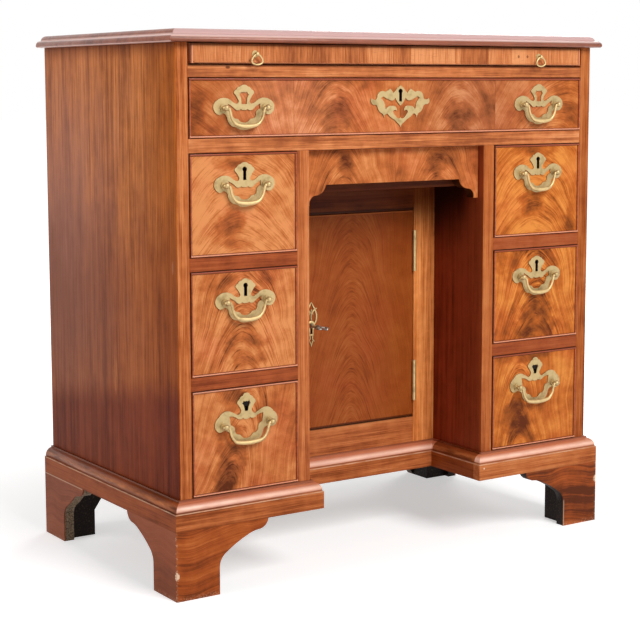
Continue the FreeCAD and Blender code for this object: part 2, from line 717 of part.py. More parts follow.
def make_hinges():
    """Butt hinges: two jamb knuckles with a leaf, and a door knuckle with its leaf and the pin."""
    jamb = []
    door = []
    third = "hinge_length / 3"
    jamb_leaf = ("frame_opening", "frame_opening + leaf_thickness")
    door_leaf = ("door_right - leaf_thickness", "door_right")
    for hinge, base in HINGES:
        full = (base, f"{base} + hinge_length")
        housed = ("recess_y", "recess_y + leaf_width")
        reach = ("hinge_y", "recess_y + leaf_thickness")
        knuckles = []
        for end, low in (("low", base), ("high", f"{base} + 2 * {third} + knuckle_gap")):
            span = (low, f"{low} + {third} - knuckle_gap")
            knuckles.append(rod(f"jamb_{hinge}_{end}_knuckle", "z", "knuckle_radius",
                                ("hinge_x", "hinge_y", low), f"{third} - knuckle_gap"))
            knuckles.append(box(f"jamb_{hinge}_{end}_tab", jamb_leaf, reach, span))
        knuckles.append(box(f"jamb_{hinge}_plate", jamb_leaf, housed, full))
        bore = rod(f"jamb_{hinge}_bore", "z", "hinge_pin_radius + pin_play",
                   ("hinge_x", "hinge_y", f"{base} - overrun"), "hinge_length + 2 * overrun")
        jamb.append(cut(f"jamb_{hinge}_leaf", fused(f"jamb_{hinge}_blank", knuckles), [bore]))
        middle = (f"{base} + {third}", f"{base} + 2 * {third}")
        door.append(fused(f"door_{hinge}_leaf", [
            rod(f"door_{hinge}_knuckle", "z", "knuckle_radius", ("hinge_x", "hinge_y", middle[0]), third),
            rod(f"door_{hinge}_pin", "z", "hinge_pin_radius", ("hinge_x", "hinge_y", base), "hinge_length"),
            box(f"door_{hinge}_tab", door_leaf, reach, middle),
            box(f"door_{hinge}_plate", door_leaf, housed, full),
        ]))
    node("hinge_jamb_leaves", jamb)
    node("hinge_door_leaves", door)


def make_door():
    """The slab door with housings for hinges, lock and key, and the plate over the keyhole."""
    slab = box("door_slab", ("door_left", "door_right"), ("recess_y", "door_back"),
               ("door_base", "door_top"))
    housing = box("lock_housing", ("door_left - overrun", "door_left + lock_length"),
                  ("lock_face", "door_back + overrun"),
                  ("key_z - lock_height / 2", "key_z + lock_height / 2"))
    through = ("recess_y - overrun", "lock_face + overrun")
    tools = leaf_pockets("door", "door_right - leaf_thickness", "door_right + overrun")
    tools += [housing] + key_passage("door", through, "key_hole_play")
    node("cupboard_door", [cut("door_wood", slab, tools)])
    centre = VECTOR(size("key_x"), size("recess_y"), size("key_z"))
    half_height = size("door_scutcheon_height") / 2
    plate = leaf(DOOR_SCUTCHEON_EDGE_SHARES, size("door_scutcheon_width") / 2, half_height, half_height,
                 size("plate_thickness"), centre)
    plate_through = ("recess_y - overrun", "recess_y + overrun")
    node("door_escutcheon", [cut("door_scutcheon", carved("door_scutcheon_blank", plate),
                                 key_passage("door_scutcheon", plate_through, "key_hole_play"))])


def key_passage(owner, span, play):
    """The way through for the key: a round hole for its stem, with some play, over a slot for its bit."""
    depth = f"({span[1]}) - ({span[0]})"
    stem = rod(f"{owner}_stem_hole", "y", f"key_stem_radius + {play}", ("key_x", span[0], "key_z"), depth)
    half = "(key_bit_thickness / 2 + key_hole_play / 2)"
    slot = box(f"{owner}_bit_slot", (f"key_x - {half}", f"key_x + {half}"), span,
               ("key_z - key_bit_drop - key_hole_play", "key_z"))
    return [stem, slot]


def make_lock():
    """The hollow lock case in the door's back, the bolt that slides in it and the key that throws it."""
    low, high = "key_z - lock_height / 2", "key_z + lock_height / 2"
    case = box("lock_case", ("door_left", "door_left + lock_length"), ("lock_face", "door_back"),
               (low, high))
    hollow = box("lock_hollow", ("door_left + lock_wall", "door_left + lock_length - lock_wall"),
                 ("lock_face + lock_wall", "door_back - lock_wall"),
                 (f"{low} + lock_wall", f"{high} - lock_wall"))
    slot = box("bolt_slot", ("door_left - overrun", "door_left + lock_wall + overrun"),
               ("bolt_y - bolt_thickness / 2 - bolt_play", "bolt_y + bolt_thickness / 2 + bolt_play"),
               ("key_z + bolt_lift - bolt_play", "key_z + bolt_lift + bolt_height + bolt_play"))
    entry = key_passage("lock", ("lock_face - overrun", "lock_face + lock_wall + overrun / 2"), "pin_play")
    node("door_lock", [cut("lock_shell", case, [hollow, slot] + entry)])
    node("door_bolt", [box("bolt", ("door_left + bolt_play", "door_left + bolt_play + bolt_length"),
                           ("bolt_y - bolt_thickness / 2", "bolt_y + bolt_thickness / 2"),
                           ("key_z + bolt_lift", "key_z + bolt_lift + bolt_height"))])
    tip = "recess_y - key_stick_out"
    bow_y = f"{tip} + key_bow_radius + key_bow_wire"
    stem_y = f"{bow_y} + key_bow_radius"
    bow = DOC.addObject("Part::Torus", "key_bow")
    bow.setExpression("Radius1", formula("key_bow_radius"))
    bow.setExpression("Radius2", formula("key_bow_wire"))
    place(bow, ("key_x", bow_y, "key_z"))
    half = "key_bit_thickness / 2"
    node("door_key", [fused("key", [
        bow,
        rod("key_stem", "y", "key_stem_radius", ("key_x", stem_y, "key_z"),
            f"bolt_y + key_bit_length / 2 - ({stem_y})"),
        rod("key_collar", "y", "key_collar_radius", ("key_x", f"{stem_y} + key_bow_wire / 2", "key_z"),
            "key_collar_length"),
        rod("key_cross", "x", "key_bow_wire / 2", ("key_x - key_bow_radius", bow_y, "key_z"),
            "2 * key_bow_radius"),
        box("key_bit", (f"key_x - {half}", f"key_x + {half}"),
            ("bolt_y - key_bit_length / 2", "bolt_y + key_bit_length / 2"),
            ("key_z - key_bit_drop", "key_z")),
    ])])


# Writing slide
def make_slide():
    """The pull-out board with its deeper beaded front edge, and a drop ring hung in an eye at each end."""
    inside = ("-slide_half + bead_width", "slide_half - bead_width")
    tall = ("slide_base + slide_edge_lift", "slide_base + slide_edge_lift + slide_edge_height")
    depth = ("slide_front - slide_bead_proud", "slide_board_front")
    node("writing_slide", [
        box("slide_board", ("-slide_half", "slide_half"),
            ("slide_board_front", "back_face - slide_back_gap"),
            ("slide_floor", "slide_floor + slide_board_thickness")),
        box("slide_edge", inside, ("slide_front", "slide_board_front"),
            (f"{tall[0]} + bead_width", tall[1])),
        bead("slide_bottom_bead", inside, (tall[0], f"{tall[0]} + bead_width"), "x", *depth),
        bead("slide_left_bead", ("-slide_half", inside[0]), tall, "z", *depth),
        bead("slide_right_bead", (inside[1], "slide_half"), tall, "z", *depth),
    ])
    eyes = []
    rings = []
    for side, sign in SIDES:
        spot = at_side(sign, f"half_width - {side}_pull_inset")
        rose = rod(f"{side}_pull_rose", "y", "pull_rose_radius",
                   (spot, "slide_front - pull_rose_thickness", "pull_z"), "pull_rose_thickness")
        stem = rod(f"{side}_pull_stem", "y", "pull_stem_radius", (spot, "pull_y", "pull_z"), "pull_stand")
        eye = ball(f"{side}_pull_ball", "pull_eye_radius", (spot, "pull_y", "pull_z"))
        hole = rod(f"{side}_pull_hole", "x", "pull_eye_hole",
                   (f"{spot} - 2 * pull_eye_radius", "pull_y", "pull_z"), "4 * pull_eye_radius")
        eyes.append(cut(f"{side}_pull_eye", fused(f"{side}_pull_blank", [rose, stem, eye]), [hole]))
        rings.append((side, bent_rod(f"{side}_ring", "ring_radius", "ring_wire",
                                     (spot, "pull_y", "pull_z - ring_radius"), 0, 360)))
    node("slide_pull_eyes", eyes)
    for side, ring in rings:
        node(f"{side}_slide_ring", [ring])


# Bail handles
def handle_plate(name, middle_x, post_z, spacing, rise, pierced):
    """A pierced brass plate behind a bail; its shield is pierced too, or stays solid for a keyhole."""
    edge, opening, piercing = PLATES[spacing]
    frame = (size(spacing) / 2, size(rise), size("plate_drop"), size("plate_thickness"),
             VECTOR(middle_x, size("front_y"), post_z))
    shape = leaf(edge, *frame).cut(leaf(opening, *frame))
    return carved(name, shape.cut(leaf(piercing, *frame)) if pierced else shape)


def post(name, spot, post_z):
    """A handle post: shank through the drawer front, collar, stem and a ball head drilled for a pin."""
    tail = "front_thickness + shank_tail"
    face = "front_y - plate_thickness"
    blank = fused(name + "_blank", [
        rod(name + "_shank", "y", "post_shank_radius", (spot, face, post_z), f"plate_thickness + {tail}"),
        rod(name + "_collar", "y", "post_collar_radius", (spot, f"{face} - post_collar_thickness", post_z),
            "post_collar_thickness"),
        rod(name + "_stem", "y", "post_radius", (spot, "bail_y", post_z), "bail_stand - plate_thickness"),
        ball(name + "_head", "post_head_radius", (spot, "bail_y", post_z)),
    ])
    bore = rod(name + "_bore", "x", "bail_pin_radius + pin_play",
               (f"{spot} - 2 * post_head_radius", "bail_y", post_z), "4 * post_head_radius")
    return cut(name, blank, [bore])


def nut(name, spot, post_z):
    """The round nut on a post's shank, against the back of the drawer front."""
    back = "front_y + front_thickness"
    blank = rod(name + "_blank", "y", "nut_radius", (spot, back, post_z), "nut_thickness")
    bore = rod(name + "_bore", "y", "post_shank_radius + shank_play", (spot, f"{back} - overrun", post_z),
               "nut_thickness + 2 * overrun")
    return cut(name, blank, [bore])


def shank_holes(name, middle, post_z, spacing, span):
    """Clearance holes for the two shanks of a handle."""
    depth = f"({span[1]}) - ({span[0]})"
    return [rod(f"{name}_{side}_shank_hole", "y", "post_shank_radius + shank_play",
                (f"{middle} + {sign} * {spacing} / 2", span[0], post_z), depth) for side, sign in SIDES]


def keyhole(name, middle, centre_z, span):
    """A keyhole: a round hole over a slot."""
    depth = f"({span[1]}) - ({span[0]})"
    return [rod(name + "_keyhole_round", "y", "keyhole_radius", (middle, span[0], centre_z), depth),
            box(name + "_keyhole_slot", (f"{middle} - keyhole_slot / 2", f"{middle} + keyhole_slot / 2"),
                span, (f"{centre_z} - keyhole_length", centre_z))]


def handle(name, middle, middle_x, post_z, post_height, spacing, rise, pierced):
    """Plate, posts and nuts of one handle, as a list of solids."""
    span = ("front_y - plate_thickness - overrun", "front_y + overrun")
    tools = shank_holes(name + "_plate", middle, post_z, spacing, span)
    if not pierced:
        tools += keyhole(name + "_plate", middle, f"{post_z} + keyhole_lift", span)
    plate = handle_plate(name + "_plate_blank", middle_x, post_height, spacing, rise, pierced)
    pieces = [cut(name + "_plate", plate, tools)]
    for side, sign in SIDES:
        spot = f"{middle} + {sign} * {spacing} / 2"
        pieces.append(post(f"{name}_{side}_post", spot, post_z))
        pieces.append(nut(f"{name}_{side}_nut", spot, post_z))
    return pieces


def bail(label, middle, post_z, spacing):
    """The hanging bail: a bent bar, swelling in the grip, with a pin into each post's head."""
    half = f"({spacing} / 2 - bail_inset)"
    bend = "bail_corner_radius"
    bottom = f"({post_z} - bail_drop)"
    reach = f"({half} - {bend})"
    pieces = [taper(label + "_left_grip", "x", ("bail_wire", "bail_swell"),
                    (f"{middle} - {reach}", "bail_y", bottom), reach),
              taper(label + "_right_grip", "x", ("bail_swell", "bail_wire"),
                    (middle, "bail_y", bottom), reach)]
    for side, sign, start in (("left", -1, 180), ("right", 1, 270)):
        arm = f"{middle} + {sign} * {half}"
        elbow = (f"{middle} + {sign} * {reach}", "bail_y", f"{bottom} + {bend}")
        pieces.append(bent_rod(f"{label}_{side}_bend", bend, "bail_wire", elbow, start, 90))
        pieces.append(rod(f"{label}_{side}_arm", "z", "bail_wire", (arm, "bail_y", f"{bottom} + {bend}"),
                          f"bail_drop - {bend}"))
        pieces.append(ball(f"{label}_{side}_knob", "bail_wire", (arm, "bail_y", post_z)))
        length = "bail_inset + post_head_radius + bail_pin_tail"
        start_x = arm if sign > 0 else f"{arm} - ({length})"
        pieces.append(rod(f"{label}_{side}_pin", "x", "bail_pin_radius", (start_x, "bail_y", post_z),
                          length))
    node(label, [fused(label + "_solid", pieces)])


# Drawers
def bead(name, x, z, along, face, back):
    """One bead: a thin strip at an edge of a front, with a rounded nose that reaches to a face."""
    nose = "bead_width / 2"
    nose_y = f"{face} + {nose}"
    strip = box(name + "_strip", x, (nose_y, back), z)
    if along == "x":
        start = (x[0], nose_y, f"({z[0]} + {z[1]}) / 2")
        length = f"({x[1]}) - ({x[0]})"
    else:
        start = (f"({x[0]} + {x[1]}) / 2", nose_y, z[0])
        length = f"({z[1]}) - ({z[0]})"
    return fused(name, [strip, rod(name + "_nose", along, nose, start, length)])


def beaded_front(name, x, z, tools):
    """A drawer front and its cockbeads; tools are taken out of the board for lock, keyhole and posts."""
    low_x, high_x = f"{x[0]} + drawer_gap", f"{x[1]} - drawer_gap"
    low_z, high_z = f"{z[0]} + drawer_gap", f"{z[1]} - drawer_gap"
    inside_z = (f"{low_z} + bead_width", f"{high_z} - bead_width")
    board = box(name + "_board", (f"{low_x} + bead_width", f"{high_x} - bead_width"),
                ("front_y", "front_y + front_thickness"), inside_z)
    depth = ("front_y - bead_proud", "front_y + front_thickness")
    node(name, [
        cut(name + "_wood", board, tools),
        bead(name + "_top_bead", (low_x, high_x), (inside_z[1], high_z), "x", *depth),
        bead(name + "_bottom_bead", (low_x, high_x), (low_z, inside_z[0]), "x", *depth),
        bead(name + "_left_bead", (low_x, f"{low_x} + bead_width"), inside_z, "z", *depth),
        bead(name + "_right_bead", (f"{high_x} - bead_width", high_x), inside_z, "z", *depth),
    ])


def drawer_box(name, x, z, face, tail):
    """Sides, back and bottom of a drawer, from the back of its front to its tail."""
    low_x, high_x = f"{x[0]} + drawer_gap", f"{x[1]} - drawer_gap"
    low, high = f"{z[0]} + running_gap", f"{z[1]} - lining_headroom"
    inside = (f"{low_x} + lining_thickness", f"{high_x} - lining_thickness")
    floor = (f"{z[0]} + lining_bottom_lift", f"{z[0]} + lining_bottom_lift + lining_bottom")
    node(name, [
        box(name + "_left_side", (low_x, inside[0]), (face, tail), (low, high)),
        box(name + "_right_side", (inside[1], high_x), (face, tail), (low, high)),
        box(name + "_back", inside, (f"{tail} - lining_thickness", tail), (floor[1], high)),
        box(name + "_bottom", inside, (face, tail), floor),
    ])


def lock_place(middle, key_z):
    """Where a drawer lock sits: a block let into the back of the front, about its keyhole."""
    return ((f"{middle} - drawer_lock_width / 2", f"{middle} + drawer_lock_width / 2"),
            ("front_y + front_thickness - drawer_lock_depth", "front_y + front_thickness"),
            (f"{key_z} - drawer_lock_height / 2", f"{key_z} + drawer_lock_height / 2"))


def drawer_lock(name, middle, key_z):
    """A drawer lock's closed case, drilled for the key's pin."""
    spot = lock_place(middle, key_z)
    case = box(name + "_case", *spot)
    hole = rod(name + "_pin_hole", "y", "keyhole_radius", (middle, f"{spot[1][0]} - overrun", key_z),
               "lock_pin_depth + overrun")
    return cut(name, case, [hole])


def front_tools(name, middle, key_z, handles):
    """Cuts in a drawer front: lock housing, keyhole and the shank holes of each handle."""
    x, y, z = lock_place(middle, key_z)
    through = ("front_y - overrun", "front_y + front_thickness + overrun")
    tools = [box(name + "_lock_housing", x, (y[0], f"{y[1]} + overrun"), z)]
    tools += keyhole(name, middle, key_z, through)
    for order, (spot, post_z, spacing) in enumerate(handles):
        tools += shank_holes(f"{name}_{order}", spot, post_z, spacing, through)
    return tools


def make_long_drawer():
    """The long drawer: cockbeaded front, lined box, two handles, a central escutcheon and its lock."""
    x, z = ("-half_inside", "half_inside"), ("long_base", "long_top")
    key_z = "(long_post_z + keyhole_lift)"
    spots = [(at_side(sign, "column_middle"), sign * size("column_middle")) for side, sign in SIDES]
    handles = [(spot, "long_post_z", "post_spacing") for spot, spot_x in spots]
    beaded_front("long_drawer_front", x, z, front_tools("long_front", "0", key_z, handles))
    drawer_box("long_drawer_box", x, z, "front_y + front_thickness", "back_face - drawer_back_gap")
    solids = []
    for (side, sign), (spot, spot_x) in zip(SIDES, spots):
        solids += handle(f"long_{side}", spot, spot_x, "long_post_z", size("long_post_z"), "post_spacing",
                         "plate_rise", True)
    node("long_drawer_plates", solids)
    half_height = size("scutcheon_height") / 2
    frame = (size("scutcheon_width") / 2, half_height, half_height, size("plate_thickness"),
             VECTOR(0, size("front_y"), size("long_post_z")))
    shape = leaf(SCUTCHEON_EDGE_SHARES, *frame).cut(leaf(SCUTCHEON_OPENING_SHARES, *frame))
    span = ("front_y - plate_thickness - overrun", "front_y + overrun")
    node("long_drawer_escutcheon", [cut("scutcheon", carved("scutcheon_blank", shape),
                                        keyhole("scutcheon", "0", key_z, span))])
    node("long_drawer_lock", [drawer_lock("long_lock", "0", key_z)])
    for (side, sign), (spot, spot_x) in zip(SIDES, spots):
        bail(f"long_drawer_{side}_bail", spot, "long_post_z", "post_spacing")


def make_pedestal_drawers():
    """Three graduated drawers in each pedestal, each with its own handle and lock."""
    rows = (("upper", "upper_base", "upper_top", "post_drop", "post_spacing", "plate_rise", False),
            ("middle", "middle_base", "middle_top", "post_drop", "post_spacing", "plate_rise", False),
            ("lower", "carcase_base", "lower_top", "lower_post_drop", "lower_post_spacing",
             "lower_plate_rise", True))
    for side, sign in SIDES:
        x = mirrored(sign, "inner_face", "half_inside")
        middle = at_side(sign, "column_middle")
        middle_x = sign * size("column_middle")
        for row, base, top, drop, spacing, rise, pierced in rows:
            name = f"{side}_{row}_drawer"
            post_z = f"({top} - {drop})"
            key_z = f"({post_z} + keyhole_lift)"
            beaded_front(name + "_front", x, (base, top),
                         front_tools(name, middle, key_z, [(middle, post_z, spacing)]))
            drawer_box(name + "_box", x, (base, top), "front_y + front_thickness",
                       "back_face - drawer_back_gap")
            post_height = size(top) - size(drop)
            solids = handle(name, middle, middle_x, post_z, post_height, spacing, rise, pierced)
            node(name + "_fittings", solids + [drawer_lock(name + "_lock", middle, key_z)])
            bail(name + "_bail", middle, post_z, spacing)


def make_apron_drawer():
    """The shallow drawer in the kneehole's head: its front is the shaped apron."""
    half = size("half_knee") - size("drawer_gap")
    flat = size("soffit_top")
    top = size("upper_top") - size("drawer_gap")
    low = flat - size("apron_bracket_drop")
    root = half - size("apron_bracket_width")
    y = size("apron_front_y")
    right = [VECTOR(root + across * size("apron_bracket_width"), y, flat - down * size("apron_bracket_drop"))
             for across, down in APRON_BRACKET_SHARES]
    left = [VECTOR(-point.x, point.y, point.z) for point in reversed(right)]
    outline = [right[-1], VECTOR(half, y, low), VECTOR(half, y, top), VECTOR(-half, y, top),
               VECTOR(-half, y, low), left[0]]
    edges = [Part.LineSegment(a, b).toShape() for a, b in zip(outline, outline[1:])]
    edges += arc_chain(left) + [Part.LineSegment(left[-1], right[0]).toShape()] + arc_chain(right)
    shape = swept_profile(edges, VECTOR(0, size("apron_thickness"), 0))
    node("apron_front", [carved("apron_wood", shape)])
    drawer_box("apron_box", ("-half_knee", "half_knee"), ("soffit_top", "upper_top"), "apron_back_y",
               "back_face - apron_back_gap")


# Build, check and write
def check():
    """Stop if any object failed, or any sub-part isn't a sound solid or group of solids."""
    DOC.recompute()
    failed = [thing.Name for thing in DOC.Objects if {"Invalid", "Error"} & set(thing.State)]
    if failed:
        raise RuntimeError("failed objects: " + ", ".join(failed))
    for piece in NODES:
        shape = piece.Shape
        if shape.isNull() or not shape.isValid() or not shape.Solids:
            raise RuntimeError("unsound shape: " + piece.Label)


def write():
    """Write each sub-part to its own file, named for it."""
    os.makedirs("parts", exist_ok=True)
    for piece in NODES:
        piece.Shape.exportStep(os.path.join("parts", piece.Label + ".step"))
        print(piece.Label, len(piece.Shape.Solids), "solids", round(piece.Shape.Volume), "mm3")
    print(len(NODES), "sub-parts")


fill_sheet()
make_top()
make_panels()
make_back_and_bottom()
make_rails_and_runners()
make_cupboard_frame()
make_base_moulding()
make_feet()
make_hinges()
make_door()
make_lock()
make_slide()
make_long_drawer()
make_apron_drawer()
make_pedestal_drawers()
check()
write()
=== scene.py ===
import math
from typing import NamedTuple

import bmesh
import bpy
import numpy as np
from bpy.props import FloatProperty, FloatVectorProperty, PointerProperty
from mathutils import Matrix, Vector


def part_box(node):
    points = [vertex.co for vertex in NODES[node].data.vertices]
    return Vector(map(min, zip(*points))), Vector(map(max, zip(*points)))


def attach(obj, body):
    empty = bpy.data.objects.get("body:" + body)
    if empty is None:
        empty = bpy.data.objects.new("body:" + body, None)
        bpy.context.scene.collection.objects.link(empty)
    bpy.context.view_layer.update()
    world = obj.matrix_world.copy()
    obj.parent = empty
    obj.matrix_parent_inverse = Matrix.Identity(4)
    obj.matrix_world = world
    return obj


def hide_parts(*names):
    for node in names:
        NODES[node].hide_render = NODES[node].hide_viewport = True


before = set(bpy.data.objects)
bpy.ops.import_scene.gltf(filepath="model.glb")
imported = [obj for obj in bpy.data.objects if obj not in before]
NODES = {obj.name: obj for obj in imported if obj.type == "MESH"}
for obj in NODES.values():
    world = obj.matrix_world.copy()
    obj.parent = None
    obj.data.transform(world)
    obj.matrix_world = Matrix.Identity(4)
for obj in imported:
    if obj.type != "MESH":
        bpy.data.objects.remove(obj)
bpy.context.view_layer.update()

bl_info = {
    "name": "Kneehole desk",
    "version": (1, 0, 0),
    "blender": (4, 5, 0),
    "location": "View3D > Sidebar > Desk",
    "description": "Finishes and brass work of a mahogany kneehole desk",
    "category": "Object",
}

TO_MM = 1000


def screen(red, green, blue):
    """A colour as a screen shows it, 0 to 255, turned into the linear light that a shader takes."""
    shares = np.array((red, green, blue)) / 255
    linear = np.where(shares <= 0.04045, shares / 12.92, ((shares + 0.055) / 1.055) ** 2.4)
    return tuple(linear.tolist())


def dimmed(shade, share):
    """A colour times a share, or times three shares."""
    return tuple((np.array(shade) * share).tolist())


def corners(node):
    """The lowest and the highest corner of a node, in millimetres."""
    return [np.array(corner) * TO_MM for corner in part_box(node)]


# Places on the desk, in millimetres, read from the frame
SIDE_LOW, SIDE_HIGH = corners("right_side_panel")
BASE_LOW, BASE_HIGH = corners("base_moulding")
DOOR_LOW, DOOR_HIGH = corners("cupboard_door")
FRAME_FRONT = corners("cupboard_frame")[0][1]
FRONT, HALF_WIDTH, HALF_KNEE = SIDE_LOW[1], SIDE_HIGH[0], corners("right_inner_panel")[0][0]
KEY = (-78.5, FRAME_FRONT, 350)
# Fronts at the left with their head below this height show it lit from above
LOW_FRONT = 320
# How far the keyholes lie under the heads of their locks
KEYHOLE_DROP = 16
# Holes behind the plates: drop of the middle under the plate's head, half width, half height, start of the painted
# black shade
LOWER_HOLE, UPPER_HOLE, LONG_HOLE = (19, 6, 8.4, FRONT - 1), (22, 5, 12, FRONT + 0.1), (14, 5, 14, FRONT + 0.1)


def middle_of(node):
    """The middle of a node, in millimetres."""
    low, high = corners(node)
    return (low + high) / 2


# Drawer keyholes: distance from the desk's middle, and height
KEYHOLES = [(abs(middle_of(node)[0]), corners(node)[1][2] - KEYHOLE_DROP)
            for node in ("left_upper_drawer_fittings", "left_middle_drawer_fittings")]
KEYHOLES.append((0, corners("long_drawer_lock")[1][2] - KEYHOLE_DROP))


# Sizes and colours that a user would change
def colour(label, told, red, green, blue):
    """A colour setting with a screen colour as its default."""
    return FloatVectorProperty(name=label, description=told, subtype="COLOR", size=3, min=0, max=1,
                               default=screen(red, green, blue))


class DeskWood(bpy.types.PropertyGroup):
    """Colours of the woods."""
    figure_light: colour("Figure light", "Palest strands of the flame veneer", 222, 145, 87)
    figure_mid: colour("Figure middle", "Ground of the flame veneer", 188, 102, 50)
    figure_dark: colour("Figure dark", "Darkest feathers of the flame veneer", 92, 40, 13)
    plain_light: colour("Plain light", "Palest streaks of the plain mahogany", 214, 133, 80)
    plain_mid: colour("Plain middle", "Ground of the plain mahogany", 188, 103, 54)
    plain_dark: colour("Plain dark", "Darkest streaks of the plain mahogany", 136, 66, 31)
    bead: colour("Cockbead", "Cockbeads round the drawers", 172, 84, 46)
    side: colour("Sides", "Ground of the sides", 180, 98, 46)
    # Painted reflection: the grey sheen laid into the sides' colour
    side_sheen: colour("Bloom", "Greyed old polish on the sides", 158, 104, 88)
    cheek: colour("Cheeks", "Shaded red mahogany inside the kneehole", 134, 50, 24)
    top: colour("Top", "Ground of the top", 138, 70, 42)
    raw: colour("Raw wood", "Bare wood in chips and worn corners", 232, 196, 164)
    # Also painted shade: behind the feet, and black in the holes behind the plates
    grime: colour("Grime", "Dirt behind the feet and under the desk", 40, 30, 26)
    oak: colour("Lining", "Oak of the drawer linings", 202, 154, 102)
    pine: colour("Carcase wood", "Pine of the back and the runners", 158, 118, 76)


class DeskMetal(bpy.types.PropertyGroup):
    """Colours of the metals."""
    brass: colour("Brass", "Rubbed brass", 202, 176, 126)
    tarnish: colour("Tarnish", "Dull brass in the hollows", 104, 84, 44)
    steel: colour("Steel", "Bright steel of the locks and the key", 190, 186, 176)


def number(label, told, value, unit="NONE", least=0):
    """A number setting with a unit where one fits."""
    return FloatProperty(name=label, description=told, default=value, unit=unit, min=least)


class DeskSize(bpy.types.PropertyGroup):
    """Sizes of the finish."""
    wood_edge: number("Wood edge", "Rounding of worn wood edges", 0.0006, "LENGTH")
    base_edge: number("Base edge", "Rounding of the knocked base moulding", 0.0011, "LENGTH")
    brass_edge: number("Brass edge", "Bevel round the cast plates", 0.0007, "LENGTH")
    bead_width: number("Bead width", "Width of a cockbead", 0.003, "LENGTH")


class DeskStage(bpy.types.PropertyGroup):
    """Light and camera."""
    key_power: number("Key light", "Power of the soft lamp in front", 108, "POWER")
    fill_power: number("Fill light", "Power of the soft lamp at the left", 34, "POWER")
    back_power: number("Back light", "Power of the soft lamp behind", 46, "POWER")
    room: number("Room light", "Strength of the light from all sides", 0.2)
    lens: number("Lens", "Focal length on a 36 mm frame", 91.43, least=1)
    shift: number("Rise", "Upright shift of the frame", -0.06, least=-1)


# Wear and light painted into the finishes
# SHEEN and GLINT: painted reflection and painted highlights on the top's moulded edge
SHEEN, GLINT = screen(208, 168, 164), screen(252, 214, 204)
# GLOW and SIDE_GLOW: painted highlights along the base's ovolo
RIDGE, GLOW = screen(202, 122, 94), screen(255, 206, 182)
SIDE_RIDGE, SIDE_GLOW = screen(142, 66, 30), screen(222, 138, 82)
FOOT_MID, FOOT_LIGHT = screen(160, 76, 29), screen(194, 106, 50)
# Dust and painted shade behind the feet, and colours of torn wood
DUST_AND_SHADE, TORN = screen(92, 70, 56), (screen(78, 60, 46), screen(150, 128, 104), screen(196, 178, 152))
# Painted highlights on the lower cockbeads of the drawers and on the slide's bead
BEAD_HIGHLIGHT, SLIDE_BEAD_HIGHLIGHT = screen(246, 176, 140), screen(236, 158, 118)
# Marks: middle and half size, along the desk or from front to back, and in height
PALE_MARK, SCAR = ((-11, 292), (9, 34)), ((FRONT + 13, 470), (3, 11))
NAIL = ((157, BASE_LOW[2] + 19), (1.8, 1.8))
KNOT, PLUGS = ((-297, 747.5), (4.5, 2.6)), [((place, 766), (2.4, 2.8)) for place in (228, 246)]


# Shader sums
def both_ways(operation):
    """Two methods that add a Math node, with this value as its first or its second term."""
    return (lambda self, other: self.sum(operation, self, other),
            lambda self, other: self.sum(operation, other, self))


class Value:
    """A shader socket that takes part in sums and feeds other nodes."""
    __add__, __radd__ = both_ways("ADD")
    __sub__, __rsub__ = both_ways("SUBTRACT")
    __mul__, __rmul__ = both_ways("MULTIPLY")
    __truediv__, __rtruediv__ = both_ways("DIVIDE")
    __pow__, __rpow__ = both_ways("POWER")
    # The greater and the smaller of two values
    most, least = both_ways("MAXIMUM")[0], both_ways("MINIMUM")[0]

    def __init__(self, tree, socket):
        self.tree = tree
        self.socket = socket

    def node(self, kind, settings, inputs, output=0):
        """Add a node of a kind: its settings first, then the values or links of its sockets."""
        made = self.tree.nodes.new("ShaderNode" + kind)
        for name, setting in settings.items():
            if name == "stops":
                fill_ramp(made.color_ramp.elements, setting)
            else:
                setattr(made, name, setting)
        for key, given in inputs.items():
            feed(self.tree, made.inputs[key], given)
        return Value(self.tree, made.outputs[output])

    def sum(self, operation, first, second=0):
        """A Math node of two terms."""
        return self.node("Math", {"operation": operation}, {0: first, 1: second})

    def __abs__(self):
        return self.sum("ABSOLUTE", self)

    def step(self, low, high):
        """A smooth step: 0 up to low, 1 from high on; it falls instead where low is the greater."""
        return self.node("MapRange", {"interpolation_type": "SMOOTHSTEP"}, {0: self, 1: low, 2: high})

    def hump(self, middle, width):
        """A bell: 1 at the middle, 0 from a width away on."""
        return abs(self - middle).step(width, 0)

    def blend(self, low, high):
        """Two colours mixed with this value as their share."""
        return self.node("Mix", {"data_type": "RGBA"}, {0: self, 6: rgba(low), 7: rgba(high)}, 2)

    def ramp(self, *stops):
        """A colour read at this value from a ramp of places and colours."""
        return self.node("ValToRGB", {"stops": stops}, {0: self})

    def dyed(self, shares):
        """This colour times three shares."""
        return self.node("VectorMath", {"operation": "MULTIPLY"}, {0: self, 1: shares})


def feed(tree, socket, given):
    """Link a value to a socket, or set the socket's own number or colour."""
    if isinstance(given, Value):
        tree.links.new(given.socket, socket)
    else:
        socket.default_value = given


def rgba(given):
    """A colour with full alpha, or a link as it is."""
    return given if isinstance(given, Value) else (*given, 1)


def fill_ramp(elements, stops):
    """Set a ramp's stops: places and colours."""
    while len(elements) < len(stops):
        elements.new(1)
    for element, (place, shade) in zip(elements, stops):
        element.position, element.color = place, rgba(shade)


def start(name):
    """A new material, the place of its points in millimetres, and that place's three numbers."""
    material = bpy.data.materials.new(name)
    material.use_nodes = True
    tree = material.node_tree
    raw = Value(tree, tree.nodes.new("ShaderNodeTexCoord").outputs["Object"])
    point = raw.node("VectorMath", {"operation": "SCALE"}, {0: raw, "Scale": TO_MM})
    split = point.node("SeparateXYZ", {}, {0: point}).socket.node
    return material, point, [Value(tree, out) for out in split.outputs]


def joined(x, y, z):
    """A vector of three values."""
    first = next(part for part in (x, y, z) if isinstance(part, Value))
    return first.node("CombineXYZ", {}, {0: x, 1: y, 2: z})


